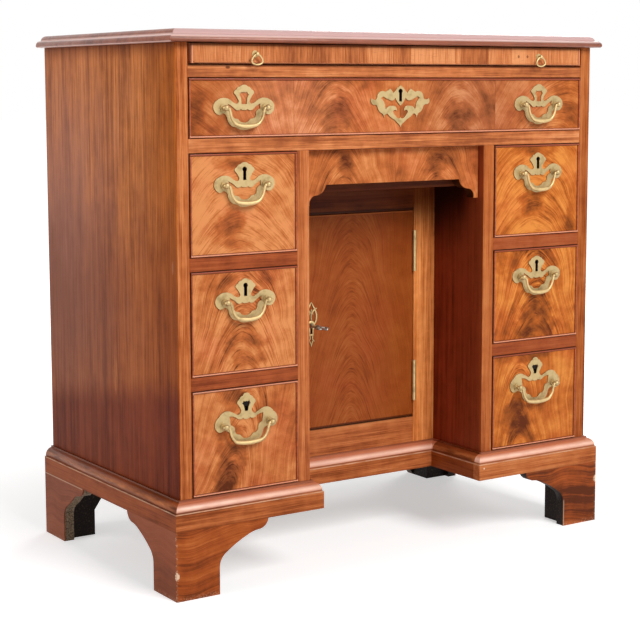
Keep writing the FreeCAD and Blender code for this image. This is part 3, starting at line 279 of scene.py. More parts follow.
def cloud(point, scales, seed, detail=3, rough=0.55):
    """Cloudy noise of a point with one scale or three: from about 0.2 to 0.8, with its middle at a half."""
    scales, moves = np.broadcast_to(scales, 3).tolist(), (seed, 1.7 * seed + 3.1, 0.6 * seed + 7.3)
    moved = point.node("VectorMath", {"operation": "MULTIPLY_ADD"}, {0: point, 1: scales, 2: moves})
    return moved.node("TexNoise", {}, {"Vector": moved, "Scale": 1, "Detail": detail, "Roughness": rough})


def spot(across, up, middle, size):
    """A soft oval spot: 1 in its middle, 0 outside."""
    return (((across - middle[0]) / size[0]) ** 2 + ((up - middle[1]) / size[1]) ** 2).step(1, 0.3)


def dye(*shares):
    """A layer that multiplies the colour under it by three shares."""
    return lambda shade: shade.dyed(shares)


def layered(shade, *layers):
    """A colour with layers laid over it in turn: each a mask, and a colour or a dye of what lies under it."""
    for mask, over in layers:
        shade = mask.blend(shade, over(shade) if callable(over) else over)
    return shade


COAT_ROUGHNESS = 0.2


def finish(material, shade, rough, height, depth, metal=0, coat=0, gloss=0.1):
    """Set a material's shader: colour, roughness, coat and height may vary, the rest is one number each."""
    tree = material.node_tree
    inputs = tree.nodes["Principled BSDF"].inputs
    normal = height.node("Bump", {}, {"Distance": depth, "Height": height})
    given = {"Base Color": rgba(shade), "Roughness": rough, "Coat Weight": coat, "Coat Roughness": COAT_ROUGHNESS,
             "Metallic": metal, "Specular IOR Level": gloss, "Normal": normal}
    for name, value in given.items():
        feed(tree, inputs[name], value)
    return material


# Woods
def stretched(axis, across, along):
    """Scales that draw a pattern out along one axis."""
    return [along if place == axis else across for place in range(3)]


def straight(point, axis, seed, weights=(0.9, 1.1, 0.9)):
    """Straight grain: broad bands, streaks and fine lines drawn out along an axis, and the short pores."""
    broad = cloud(point, stretched(axis, 0.02, 0.0018), seed, 2)
    streak = cloud(point, stretched(axis, 0.13, 0.004), seed + 3, 4, 0.6)
    line = cloud(point, stretched(axis, 0.7, 0.014), seed + 7, 3)
    pore = cloud(point, stretched(axis, 2.6, 0.07), seed + 11, 1).step(0.6, 0.72)
    age = cloud(point, 0.035, seed + 15, 3, 0.6)
    bands, streaks, lines = weights
    return 0.5 + (age - 0.5) * 0.5 + (broad - 0.5) * bands + (streak - 0.5) * streaks + (line - 0.5) * lines, pore


def crossed(point, axes, mask, seed, *weights):
    """Straight grain along one axis, or along another where a mask says so."""
    grains = straight(point, axes[0], seed, *weights), straight(point, axes[1], seed + 31, *weights)
    return [first + (second - first) * mask for first, second in zip(*grains)]


def grained(grain, tones):
    """The colour of straight-grained wood from its tone, darkened at the pores."""
    (tone, pore), (dark, mid, light) = grain, tones
    return (pore * 0.4).blend(tone.ramp((0.2, dark), (0.5, mid), (0.8, light)), dark)


def plain_tones(wood, share=1):
    """The three tones of straight-grained mahogany, times a share."""
    return [dimmed(shade, share) for shade in (wood.plain_dark, wood.plain_mid, wood.plain_light)]


def toned(shade):
    """A darker and a lighter tone on either side of a colour."""
    return [dimmed(shade, (0.5, 0.44, 0.4)), tuple(shade), dimmed(shade, (1.32, 1.45, 1.6))]


def polished(material, shade, grain, coat=0.02, gloss=0.1):
    """A waxed wood finish: rougher in the dark grain, with fine pores and lines in the surface."""
    tone, pore = grain
    return finish(material, shade, 0.5 - tone * 0.12, tone * 0.35 - pore * 0.6, 0.00012, coat=coat, gloss=gloss)


def soffit_wood(wood):
    """The kneehole's soffit: straight grain along the desk, dark in the shade."""
    material, point, place = start("soffit_mahogany")
    grain = straight(point, 0, 19)
    return polished(material, grained(grain, plain_tones(wood, (0.2, 0.13, 0.08))), grain, 0)


def bare_wood(name, shade, axis, seed, seams=()):
    """Unpolished secondary wood along one axis: dry, with dark growth lines, dust and open joints."""
    material, point, (x, y, z) = start(name)
    tone, pore = straight(point, axis, seed)
    dust = cloud(point, 0.02, seed + 41).step(0.42, 0.7)
    grown = tone.ramp((0.2, dimmed(shade, 0.42)), (0.55, tuple(shade)), (0.9, dimmed(shade, 1.3)))
    joints = [(abs(x - seam).step(1.6, 0.5), dimmed(shade, 0.08)) for seam in seams]
    dusty = layered(grown, (dust * 0.3, dimmed(shade, 0.6)), *joints)
    return finish(material, dusty, 0.72 + pore * 0.1, tone * 0.5 - pore * 0.5, 0.0002)


def side_wood(wood):
    """The desk's sides: upright grain, golden at the front, with a grey painted reflection toward the back and over
    the upper part, painted shade under the top, and a darker foot where the painted reflection stops.
    """
    material, point, (x, y, z) = start("side_mahogany")
    grain = straight(point, 2, 4, (0.9, 1.3, 1.3))
    tide = cloud(point, (0.01, 0.02, 0.008), 61) - 0.5
    # Painted reflection: a grey sheen toward the back, strongest at middle height
    back = (y - tide * 200).step(-150, 170)
    middle = (z + tide * 160).hump(440, 380)
    # Painted reflection: paler and greyer above this height, darker below it
    below_the_sheen = (z + tide * 240).step(660, 400)
    streak = cloud(point, (0, 0.34, 0.004), 66, 4, 0.72).step(0.5, 0.68)
    # Painted shade under the overhanging top
    head = (SIDE_HIGH[2] - z).step(26, 0)
    gold = (y + tide * 60).step(FRONT + 120, FRONT + 10)
    ragged = cloud(point, (0, 0.06, 0.004), 71, 4, 0.65) - 0.5
    # A darker foot where the painted reflection stops
    foot = (z - (232 + (SIDE_HIGH[1] - y) * 0.16 + ragged * 34)).step(26, -26)
    pale = spot(y, z, *PALE_MARK) * cloud(point, (0, 0.5, 0.03), 73).step(0.4, 0.6)
    flank = layered(grained(grain, toned(wood.side)), (back * middle * 0.66 + back * 0.14, wood.side_sheen))
    flank = layered(below_the_sheen.blend(flank.dyed((1.34, 1.56, 1.8)), flank.dyed((0.8, 0.75, 0.72))),
                    (streak * 0.4, dye(0.55, 0.45, 0.4)), (head, dye(0.5, 0.45, 0.45)),
                    (gold * 0.85, dye(0.7, 0.52, 0.14)), (foot * 0.85, dye(0.48, 0.23, 0.12)),
                    (pale * 0.4, wood.plain_light), (spot(y, z, *SCAR) * 0.12, wood.raw))
    edge = layered(grained(grain, plain_tones(wood)), (x.step(0, 1), dye(0.82, 0.76, 0.66)))
    outside = abs(x).step(HALF_WIDTH - 1.5, HALF_WIDTH - 0.5)
    return polished(material, outside.blend(edge, flank), grain, 0, 0.04)


def cheek_wood(wood):
    """The kneehole's cheeks: golden on their front edges and dark red inside, with painted light toward the front
    and painted shade toward the top.
    """
    material, point, (x, y, z) = start("cheek_mahogany")
    into = y - FRONT
    grain = straight(point, 2, 11)
    # Painted light toward the mouth of the kneehole
    near = into.step(80, 0) * 0.14 + into.step(14, 0) * 0.2
    shadow = (z + into * 0.4).step(470, 590) * into.step(16, 56)
    edge = layered(grained(grain, plain_tones(wood)), (x.step(0, 1), dye(0.88, 0.82, 0.68)))
    shade = layered(grained(grain, toned(wood.cheek)), (near, wood.plain_mid),
                    (shadow, dimmed(wood.cheek, 0.08)), (into.step(1.4, 0.7), edge))
    return polished(material, shade, grain)


def along_the_side(x, y):
    """1 on the lengths of moulding that run from front to back."""
    outer = abs(x).step(HALF_WIDTH, HALF_WIDTH + 0.5) * (y - FRONT + abs(x) - HALF_WIDTH).step(-0.5, 0.5)
    knee = y.step(FRONT, FRONT + 0.5) * y.step(FRAME_FRONT - 15, FRAME_FRONT - 16)
    return outer.most(abs(x).step(HALF_KNEE + 0.5, HALF_KNEE) * knee)


def top_wood(wood):
    """The top: dark polished boards, with a painted lilac reflection and painted highlights on the moulded edge."""
    material, point, (x, y, z) = start("top_mahogany")
    low, high = corners("top_board")
    grain = straight(point, 0, 21)
    ground = grained(grain, toned(wood.top))
    inward, behind, up = high[0] - abs(x), y - low[1], z - low[2]
    rim = inward.least(behind).step(19, 17)
    # Painted reflection and highlight on the front of the edge; painted highlights on the sides and along the lower
    # arris
    front = layered(ground, (up.step(8.2, 10) * 0.92, SHEEN), (up.hump(8.4, 2.4) * 0.62, GLINT))
    flank = layered(ground, (up.hump(10.4, 3) * 0.9, GLINT), (up.hump(0.5, 1.3) * 0.9, GLINT))
    edged = (inward - behind).step(1, -1).blend(front, flank)
    speck = spot(y, up, (14, 11), (2, 2)) * x.step(0, -1) * rim
    return polished(material, layered(ground, (rim, edged), (speck, wood.raw)), grain, 0.35, 0.3)


def base_wood(wood):
    """The base moulding: grain along each length, a pale arris on the fascia, partly wear and partly painted
    highlight, painted highlights on the ovolo, and painted shade at its top, in the hollow over the fascia and at
    its foot.
    """
    material, point, (x, y, z) = start("base_mahogany")
    side = along_the_side(x, y)
    grain = crossed(point, (0, 1), side, 24)
    up, dark = z - BASE_LOW[2], wood.figure_dark
    # The glow bands are painted highlights on the ovolo; head, hollow and under are painted shade
    ridge, glow = up.step(26.5, 28.5), up.hump(32, 6)
    head, hollow, under = up.step(38.5, 41), up.hump(27.4, 1.3), up.step(3, 0)
    mottle = cloud(point, (0.03, 0.014, 0.1), 30, 3, 0.6).step(0.3, 0.7)
    front = layered(grained(grain, plain_tones(wood, 0.94)), (ridge * 0.6, RIDGE),
                    (glow * (mottle * 0.3 + 0.7), GLOW))
    flank = layered(grained(grain, toned(dimmed(wood.side, (0.64, 0.5, 0.42)))),
                    (ridge * 0.7, mottle.blend(dark, SIDE_RIDGE)), (glow * mottle * 0.7, SIDE_GLOW))
    # Pale arris on the fascia: partly wear, partly painted highlight
    arris = up.hump(25.3, 1.1) * (cloud(point, (0.05, 0.05, 0.4), 29).step(0.3, 0.6) * 0.5 + 0.3)
    nail = spot(x, z, *NAIL) * y.step(BASE_LOW[1] + 1, BASE_LOW[1] + 0.5)
    shade = layered(side.blend(front, flank), (head * 0.55, dark), (hollow * 0.6, dark), (arris, wood.raw),
                    (under * 0.35, dark), (nail, wood.raw))
    return polished(material, shade, grain, up.step(26, 28) * 0.22 + 0.01, 0.06)


def foot_wood(wood):
    """The feet: streaked outer faces with knocked corners; raw wood, grime and painted shade behind them."""
    material, point, (x, y, z) = start("foot_mahogany")
    reach = BASE_HIGH[0]
    outer_x, outer_y = reach - abs(x), y - BASE_LOW[1]
    side = (outer_y - outer_x).step(-0.5, 0.5)
    wave = cloud(point, (0.012, 0.012, 0), 26, 1) - 0.5
    grain = crossed(joined(x, y, z + wave * 60), (0, 1), side, 27, (1.5, 1, 0.6))
    front = grained(grain, (wood.figure_dark, FOOT_MID, FOOT_LIGHT))
    flank = grained((0.5 + (grain[0] - 0.5) * 0.5, grain[1]), toned(dimmed(wood.side, (0.62, 0.5, 0.52))))
    speckle = cloud(point, 0.35, 37, 4, 0.7)
    toe = z.step(9, 0) * speckle.step(0.44, 0.66)
    corner = (outer_x + outer_y).step(3.2, 1.4) * speckle.step(0.54, 0.66)
    chips = [((x * way - reach) ** 2 + outer_y ** 2 + ((z - height) * 0.8) ** 2
              + (speckle - 0.5) * 130).step(24, 14) for way, height in ((-1, 37), (1, 72))]
    joint = (z - BASE_LOW[2]).step(-2.4, -1.2) * y.step(80, 84)
    arris = x.hump(reach - 70, 2) * z.step(46, 40) * outer_y.step(1.6, 0.6)
    # Grime and painted shade on the faces behind the feet
    dirt_and_shade = speckle.ramp((0.3, dimmed(wood.grime, 0.4)), (0.55, tuple(wood.grime)), (0.75, DUST_AND_SHADE))
    torn = speckle.ramp(*zip((0.34, 0.5, 0.68), TORN))
    pine = speckle.ramp((0.3, dimmed(wood.pine, 0.2)), (0.7, dimmed(wood.pine, 0.6)))
    broken = x.step(-reach + 18, -reach + 17) * y.step(70, 74)
    hidden = layered(dirt_and_shade, (y.step(204, 208), pine), (broken, torn))
    behind = outer_x.least(outer_y).step(1.2, 2.2)
    worn = [(mask, wood.raw) for mask in (toe * 0.35, corner * 0.6, *chips, joint * 0.4, arris * 0.6)]
    return polished(material, layered(side.blend(front, flank), *worn, (behind, hidden)), grain)


# Flame veneers
class Figure(NamedTuple):
    """One leaf: apex, spread and rise of its arches, and dark cores as x, z, width, height and depth."""
    x: float
    z: float
    spread: float
    rise: float
    cores: tuple = ()
    lean: float = 0
    lift: float = 0
    force: float = 1
    bold: float = 1
    power: float = 1.8


FLAMES = {
    "left_upper": Figure(-278, 548, 80, 62, lift=0.14, cores=(
        (-292, 534, 30, 26, 0.34), (-300, 615, 30, 12, 0.3), (-276, 502, 40, 10, 0.2))),
    "left_middle": Figure(-276, 384, 52, 66, lift=0.12, force=1.6, cores=(
        (-268, 342, 40, 40, 0.4), (-316, 448, 36, 16, 0.24))),
    "left_lower": Figure(-284, 222, 36, 70, lean=0.3, lift=0.05, force=1.2, cores=(
        (-298, 200, 26, 46, 0.46), (-306, 158, 24, 40, 0.46), (-294, 284, 24, 26, 0.4))),
    "right_upper": Figure(264, 545, 78, 62, lift=0.07, cores=(
        (258, 536, 30, 22, 0.4), (270, 620, 46, 12, 0.26), (345, 510, 10, 30, 0.25))),
    "right_middle": Figure(270, 386, 50, 66, lift=0.05, force=1.9, cores=(
        (278, 344, 44, 44, 0.46), (206, 446, 30, 24, 0.34))),
    "right_lower": Figure(240, 208, 34, 60, lift=0.06, force=1.4, cores=(
        (240, 190, 34, 46, 0.36), (252, 160, 36, 22, 0.26), (240, 288, 60, 12, 0.34))),
}
PLAIN_TINT, RIGHT_TINT = (1, 1, 1), (1.03, 0.96, 0.56)
LONG_SEAMS = (-188, 0, 184)
LONG_FLAMES = (
    Figure(-346, 628, 60, 60, ((-350, 680, 22, 34, 0.34), (-306, 668, 30, 14, 0.24)), lean=-0.5, force=0.9),
    Figure(-113, 700, 60, 66, ((-114, 676, 30, 26, 0.24), (-70, 724, 40, 10, 0.12)), lift=0.04, force=0.8),
    Figure(113, 700, 60, 66, ((114, 676, 30, 26, 0.26), (166, 690, 22, 40, 0.14)), lift=-0.03, force=0.8),
    Figure(300, 640, 74, 60, ((344, 676, 18, 24, 0.28), (262, 668, 16, 16, 0.14)), lean=0.5, lift=0.02, force=0.8),
)
# Tinted stretches of the long drawer: middle, half width and colour shares
LONG_STAINS = ((-352, 90, (0.8, 0.72, 0.66)), (-196, 150, (1.16, 1.36, 2.1)),
               (150, 190, (0.84, 0.88, 1.15)), (352, 80, (0.92, 0.86, 0.7)))
APRON_SEAMS = (1,)
APRON_FLAMES = (Figure(-94, 602, 44, 56, ((-92, 606, 16, 22, 0.34),)),
                Figure(84, 604, 46, 56, ((86, 604, 26, 16, 0.28),)))
DOOR_FLAMES = (Figure(-2.5, 430, 58, 110, lift=0.02, force=0.75, bold=0.4, power=1.7),)


def flame(x, z, figure, seed):
    """Flame figure: strands follow arches that open downward from an apex.

    An arch is where height over the apex plus a power of the distance from a leaning axis stays the same.
    The tone of a strand is noise that changes fast from arch to arch and slowly along each arch. Fine
    hairs are noise that changes faster still, and dark feathered cores lie near the axis.
    """
    flat = joined(x, z, seed)
    bend = cloud(flat, (0.014, 0.014, 1), seed + 2, 1) - 0.5
    ripple = cloud(flat, (0.08, 0.08, 1), seed + 5, 2) - 0.5
    up = z - figure.z
    aside = x - figure.x - up * figure.lean + bend * 14
    wide = (up.most(0) * 0.004 + 1) * figure.spread
    arch = (up + bend * 10) / figure.rise + abs(aside / wide) ** figure.power + ripple * 0.04
    along = aside / figure.spread
    ways = joined(arch, along, seed)
    ground = cloud(flat, (0.017, 0.021, 1), seed + 7, 2) - 0.5
    blotch = cloud(flat, (0.05, 0.06, 1), seed + 8, 4, 0.6) - 0.5
    band = cloud(ways, (1.7, 0.6, 1), seed + 9, 2, 0.5) - 0.5
    strand = cloud(ways, (6.5, 1.1, 1), seed + 13, 3, 0.6) - 0.5
    line = cloud(ways, (22, 2, 1), seed + 17, 3, 0.6) - 0.5
    hair = cloud(ways, (80, 6, 1), seed + 19, 1) - 0.5
    heart = (abs(along).step(1.5, 0.4) * 0.6 + 0.4) * figure.force
    tone = 0.55 + figure.lift + (ground * 0.6 + blotch * 0.5) * figure.bold + hair * 0.36
    tone = tone + ((band * 0.75 + strand * 0.45) * figure.bold + line * 0.6) * heart
    tone = tone - (line + strand * 0.4).step(-0.06, -0.2) * heart * 0.1
    feathers = (strand * 1.5 + line * 3.4 + hair * 0.8).step(-0.5, 0.55) * 0.85 + 0.2
    dark = feathers * 0
    for core_x, core_z, core_wide, core_tall, depth in figure.cores:
        near = (((x - core_x + bend * 30) / core_wide) ** 2 + ((z - core_z) / core_tall) ** 2
                + blotch * 1.2 + ripple * 0.8)
        dark = dark.most(near.step(1.3, -0.1) * depth)
    return tone - dark * feathers * 1.1, hair


def veneer(name, wood, figures, seams, seed):
    """Leaves of flame veneer that meet at upright seams, with redder clouds: material, place, tones and colour."""
    material, point, (x, y, z) = start(name)
    tone, hair = flame(x, z, figures[0], seed)
    for order, seam in enumerate(seams, 1):
        other, other_hair = flame(x, z, figures[order], seed + 4 * order)
        past = x.step(seam - 0.3, seam + 0.3)
        tone = tone + (other - tone) * past - abs(x - seam).step(0.9, 0.2) * 0.12
        hair = hair + (other_hair - hair) * past
    shade = (0.56 + (tone - 0.56) * 1.36).ramp((0.02, wood.figure_dark), (0.28, dimmed(wood.figure_mid, 0.56)),
                                               (0.54, wood.figure_mid), (0.9, wood.figure_light))
    drift = cloud(joined(x, z, seed), (0.012, 0.012, 1), seed + 23, 2).step(0.48, 0.68)
    return material, point, (x, y, z), (tone, hair), layered(shade, (drift * 0.5, dye(1, 0.8, 0.96)))


def waxed(material, shade, tones, coat=0.02):
    """A waxed veneer: rougher in the dark figure, with its hairs in the surface."""
    tone, hair = tones
    return finish(material, shade, 0.5 - tone * 0.12, tone * 0.3 + hair * 0.3, 0.0001, coat=coat)


def front_wood(name, wood, bead, leaves, plate, hole, tint=PLAIN_TINT, stains=()):
    """A drawer front: flame veneer with cockbeads round its edges, painted black shade behind the hole in its plate,
    painted shade on its top bead and in the gaps at its top and sides, and a painted highlight on its lower bead.

    The leaves are figures, seams and a seed.
    """
    material, point, (x, y, z), tones, shade = veneer(name + "_flame", wood, *leaves)
    (low_x, _, low_z), (high_x, _, high_z) = corners(name + "_drawer_front")
    drop, half_wide, half_tall, face = hole
    aside, over = abs(x - middle_of(plate)[0]), abs(z - (corners(plate)[1][2] - drop))
    # Painted shade: black behind the hole in the plate
    cut = (aside - half_wide).most(over - half_tall).step(0.3, -0.3) * y.step(face, face + 0.4)
    inside = (x - low_x).least(high_x - x).least((z - low_z).least(high_z - z))
    strip = inside.step(bead + 0.1, bead - 0.1)
    # Painted shade on the top bead; painted highlight along the lower bead, and along the top bead too on low fronts
    # at the left
    foot, head = (z - low_z).step(bead + 0.5, bead), (high_z - z).step(bead + 0.5, bead)
    lit = foot.most(head) if high_z < LOW_FRONT and high_x < 0 else foot
    grain = cloud(point, 0.2, leaves[2] + 51)
    bead_with_painted_light = layered(grain.ramp((0.3, dimmed(wood.bead, 0.7)), (0.7, dimmed(wood.bead, 1.3))),
                     (head, dimmed(wood.bead, (0.8, 0.75, 0.9))),
                     (inside.hump(bead * 0.5, 1.4) * lit * 0.75, BEAD_HIGHLIGHT))
    line = abs(inside - bead).step(0.6, 0.15)
    flank = grain.ramp((0.3, wood.plain_dark), (0.7, dimmed(wood.plain_mid, 0.8)))
    # Painted shade in the gaps at the top and the sides
    gap_shade = inside.step(1, 0.2) * (z - low_z).step(0.6, 1.4) * y.step(FRONT + 1, FRONT + 0.4)
    shade = layered(shade.dyed(tint), *((x.hump(middle, width), dye(*shares)) for middle, width, shares in stains),
                    (cut, dimmed(wood.grime, 0.25)), (strip, bead_with_painted_light), (line * 0.55, dimmed(wood.figure_dark, 0.5)),
                    (strip * y.step(FRONT + 1, FRONT + 2), flank), (gap_shade * 0.8, dimmed(wood.figure_dark, 0.4)))
    return waxed(material, shade, tones, strip * 0.25 + 0.02)


def apron_wood(wood):
    """The apron: two leaves of flame veneer on its face, with painted shade on the edges behind it."""
    material, point, (x, y, z), tones, shade = veneer("apron_flame", wood, APRON_FLAMES, APRON_SEAMS, 151)
    face = corners("apron_front")[0][1]
    # Painted shade on the apron's edges behind its face
    return waxed(material, layered(shade, (y.step(face + 0.6, face + 2), dimmed(wood.figure_dark, 0.35))), tones)


def door_wood(wood):
    """The door: brown flame veneer, with painted shade toward its head, a painted highlight along its top edge and a
    painted shadow line at its foot.
    """
    material, point, (x, y, z), tones, shade = veneer("door_mahogany", wood, DOOR_FLAMES, (), 161)
    foot, head = z - DOOR_LOW[2], DOOR_HIGH[2] - z
    # Painted shade toward the head, painted highlight on the top edge, painted shadow line at the foot
    shade = layered(shade.dyed((0.61, 0.48, 0.32)), (x.hump(96, 70), dye(0.95, 0.95, 0.8)),
                    (head.step(120, 0), dye(0.8, 0.76, 0.7)), (head.step(2.6, 1.8) * 0.5, wood.plain_mid),
                    (foot.step(3.6, 2.4) * 0.8, dimmed(wood.figure_dark, 0.4)))
    return waxed(material, shade, tones)


# Framing
def frame_wood(wood):
    """The cupboard's frame: grain along stiles and rails, painted light on the right stile, painted shade in the
    gaps over and under the door, and the head rail darkened as painted shade.
    """
    material, point, (x, y, z) = start("frame_mahogany")
    rail = abs(x).step(120.6, 120.4)
    grain = crossed(point, (2, 0), rail, 41)
    gap_shade = z.hump(DOOR_HIGH[2] + 3, 4).most(z.hump(DOOR_LOW[2] - 1, 2.4)) * rail
    # Painted light on the right stile, painted shade in the gaps round the door and over the head rail
    shade = layered(grained(grain, plain_tones(wood, 0.92)), (x.step(120, 121), dye(1.6, 1.8, 1.6)),
                    (gap_shade * 0.85, dimmed(wood.figure_dark, 0.3)), (z.step(485, 545), dye(0.26, 0.17, 0.12)))
    return polished(material, shade, grain)


def slide_wood(wood):
    """The slide: upright cross-grain bands on its front edge, grain along the desk on its board."""
    material, point, (x, y, z) = start("slide_mahogany")
    into = y - FRONT
    low, high = corners("writing_slide")
    band = cloud(joined(x, y, 5), (0.03, 0, 1), 81, 3, 0.6)
    cells = x / 47 + band * 3
    block = cells.sum("FLOOR", cells)
    step = block.node("TexWhiteNoise", {"noise_dimensions": "1D"}, {"W": block})
    line = cloud(point, (0.5, 0.02, 0.03), 85)
    front = 0.36 + (band - 0.5) * 0.7 + step * 0.42 + (line - 0.5) * 0.9
    board, pore = straight(point, 0, 87)
    edge = into.step(11.5, 10.5)
    grain = board + (front - board) * edge, pore
    inside = (x - low[0]).least(high[0] - x).least(z - low[2])
    strip, seam = inside.step(3.2, 2.8) * edge, abs(inside - 3).step(0.7, 0.2) * edge
    shadow = (high[2] - z).step(4.4, 1.6) * into.step(0.8, 0.3)
    plugs = [(spot(x, z, *plug) * edge * 0.7, wood.figure_dark) for plug in PLUGS]
    # Painted highlight: a pale strip round the front edge, on its bead
    shade = layered(grained(grain, plain_tones(wood, (1.12, 1.3, 1.5))), (strip * 0.7, SLIDE_BEAD_HIGHLIGHT),
                    (seam * 0.6, wood.plain_dark), (shadow * 0.75, wood.figure_dark), *plugs)
    return polished(material, shade, grain)


def rail_wood(wood):
    """The rails over and under the long drawer, with a small knot in the upper one and a painted shadow line along
    its top.
    """
    material, point, (x, y, z) = start("rail_mahogany")
    tone, pore = straight(point, 0, 14)
    grain = tone + (cloud(point, (0.06, 0.06, 0.12), 15, 2) - 0.5) * 0.25, pore
    # Painted shadow line along the top of the slide rail, under the slide
    edge = abs(z - corners("slide_rail")[1][2]).step(3, 1)
    shade = layered(grained(grain, plain_tones(wood, (1.14, 1.3, 1.5))),
                    (edge * 0.75, dimmed(wood.figure_dark, 0.6)),
                    (spot(x, z, *KNOT) * 0.8, dimmed(wood.figure_dark, 0.7)))
    return polished(material, shade, grain)


def divider_wood(wood):
    """The rails between the drawers: darker and redder than the stiles, most of all at the right."""
    material, point, (x, y, z) = start("divider_mahogany")
    grain = straight(point, 0, 17, (0.5, 0.8, 0.6))
    shade = grained(grain, plain_tones(wood, (0.78, 0.64, 0.64)))
    return polished(material, layered(shade, (x.step(-1, 1), dye(0.86, 0.8, 0.74))), grain)


# Metals
def cast_brass(name, metal, pale=1):
    """Rubbed cast brass: pale where it is handled, dull and browner in clouds, with painted black shade inside the
    keyholes.
    """
    material, point, (x, y, z) = start(name)
    dull = cloud(point, 0.07, 91, 4, 0.6)
    pit = cloud(point, 0.9, 93, 2)
    deep = y.hump(FRONT - 0.4, 1.1) * 0.55
    shade = (dull.step(0.46, 0.8) * 0.6 + deep).blend(dimmed(metal.brass, pale), metal.tarnish)
    # Painted shade: the keyholes' walls black
    for middle, height in KEYHOLES:
        across, up = abs(x) - middle, z - height
        ring = (across ** 2 + up ** 2).step(15.2, 12.6)
        slot = (abs(across) - 2.6).most(abs(up + 7.5) - 7.8).step(0.2, -0.2)
        shade = ring.most(slot).blend(shade, dimmed(metal.tarnish, 0.04))
    return finish(material, shade, 0.42 + dull * 0.2, pit * 0.6, 0.00008, metal=0.85, gloss=0.5)


def bright_steel(metal):
    """Worn bright steel with faint brushed lines and darker clouds."""
    material, point, place = start("worn_steel")
    brushed = cloud(point, (0.3, 2, 0.3), 95)
    dark = dimmed(metal.steel, 0.4)
    shade = cloud(point, 0.25, 97).step(0.42, 0.7).blend(metal.steel, dark)
    return finish(material, shade, 0.3 + brushed * 0.25, brushed, 0.00006, metal=1, gloss=0.5)


# Finished pieces: reach within which points are welded, and angle from which edges are rounded
WELD_REACH, SHARP_ANGLE = 0.00001, math.radians(35)


def dress(names, material, edge=0, rim=None):
    """Give nodes a finish, with their sharp edges rounded off and, for a rim, in a finish of their own."""
    for name in names:
        piece, slots = NODES[name], NODES[name].data.materials
        slots.clear()
        slots.append(material)
        if edge:
            weld = piece.modifiers.new("Weld", "WELD")
            weld.merge_threshold = WELD_REACH
            bevel = piece.modifiers.new("Worn edge", "BEVEL")
            bevel.width, bevel.segments = edge, 2
            bevel.limit_method, bevel.angle_limit = "ANGLE", SHARP_ANGLE
            bevel.harden_normals = True
            if rim is not None:
                slots.append(rim)
                bevel.material = 1


def ending(*ends):
    """The nodes with a name that ends so."""
    return [name for name in NODES if name.endswith(ends)]


class DESK_OT_carcase(bpy.types.Operator):
    """Finish the sides, rails, base, feet and top"""
    bl_idname = "desk.carcase"
    bl_label = "Carcase"

    def execute(self, context):
        wood, sizes = context.scene.desk_wood, context.scene.desk_size
        edge = sizes.wood_edge
        dress(("left_side_panel", "right_side_panel"), side_wood(wood), edge)
        dress(("left_inner_panel", "right_inner_panel"), cheek_wood(wood), edge)
        dress(("slide_rail", "long_rail"), rail_wood(wood), edge)
        dress(("drawer_rails",), divider_wood(wood), edge)
        dress(("top_board",), top_wood(wood), edge)
        dress(("base_moulding",), base_wood(wood), sizes.base_edge)
        feet = foot_wood(wood)
        dress(("front_feet",), feet, edge)
        dress(("rear_feet",), feet)
        dress(("kneehole_soffit",), soffit_wood(wood), edge)
        dress(("back_boards",), bare_wood("back_pine", wood.pine, 2, 33, (-HALF_KNEE, 0, HALF_KNEE)), edge)
        dress(("bottom_boards", "drawer_runners"), bare_wood("runner_pine", wood.pine, 1, 35))
        return {"FINISHED"}


class DESK_OT_fronts(bpy.types.Operator):
    """Finish the veneered drawer fronts, the apron and the writing slide"""
    bl_idname = "desk.fronts"
    bl_label = "Drawer fronts and slide"

    def execute(self, context):
        wood, sizes = context.scene.desk_wood, context.scene.desk_size
        bead, edge = sizes.bead_width * TO_MM, sizes.wood_edge
        for order, (name, figure) in enumerate(FLAMES.items()):
            plate, hole = name + "_drawer_fittings", LOWER_HOLE if "lower" in name else UPPER_HOLE
            tint = RIGHT_TINT if middle_of(plate)[0] > 0 else PLAIN_TINT
            front = front_wood(name, wood, bead, ((figure,), (), 101 + 3 * order), plate, hole, tint)
            dress((name + "_drawer_front",), front, edge)
        front = front_wood("long", wood, bead, (LONG_FLAMES, LONG_SEAMS, 131), "long_drawer_escutcheon", LONG_HOLE,
                           stains=LONG_STAINS)
        dress(("long_drawer_front",), front, edge)
        dress(("apron_front",), apron_wood(wood), edge)
        dress(("writing_slide",), slide_wood(wood), edge)
        return {"FINISHED"}


class DESK_OT_cupboard(bpy.types.Operator):
    """Finish the cupboard's frame and door"""
    bl_idname = "desk.cupboard"
    bl_label = "Cupboard"

    def execute(self, context):
        wood, edge = context.scene.desk_wood, context.scene.desk_size.wood_edge
        dress(("cupboard_frame",), frame_wood(wood), edge)
        dress(("cupboard_door",), door_wood(wood), edge)
        return {"FINISHED"}


class DESK_OT_linings(bpy.types.Operator):
    """Finish the drawer boxes"""
    bl_idname = "desk.linings"
    bl_label = "Drawer linings"

    def execute(self, context):
        oak = bare_wood("oak_lining", context.scene.desk_wood.oak, 1, 51)
        dress(ending("_box"), oak)
        return {"FINISHED"}


# Cast and forged pieces
def added(name, data):
    """A new object in the scene."""
    made = bpy.data.objects.new(name, data)
    bpy.context.scene.collection.objects.link(made)
    return made


def curve(rows, count):
    """Rows of numbers on a smooth line through given rows: a Catmull-Rom cubic between each pair of them."""
    rows = np.array(rows, dtype=float)
    padded = np.vstack((2 * rows[0] - rows[1], rows, 2 * rows[-1] - rows[-2]))
    place = np.linspace(0, len(rows) - 1, count)
    span = np.minimum(place.astype(int), len(rows) - 2)
    powers = (place - span)[:, None] ** np.arange(4)
    weights = powers @ np.array(((0, 2, 0, 0), (-1, 0, 1, 0), (2, -5, 4, -1), (-1, 3, -3, 1))) / 2
    return sum(weights[:, step, None] * padded[span + step] for step in range(4))


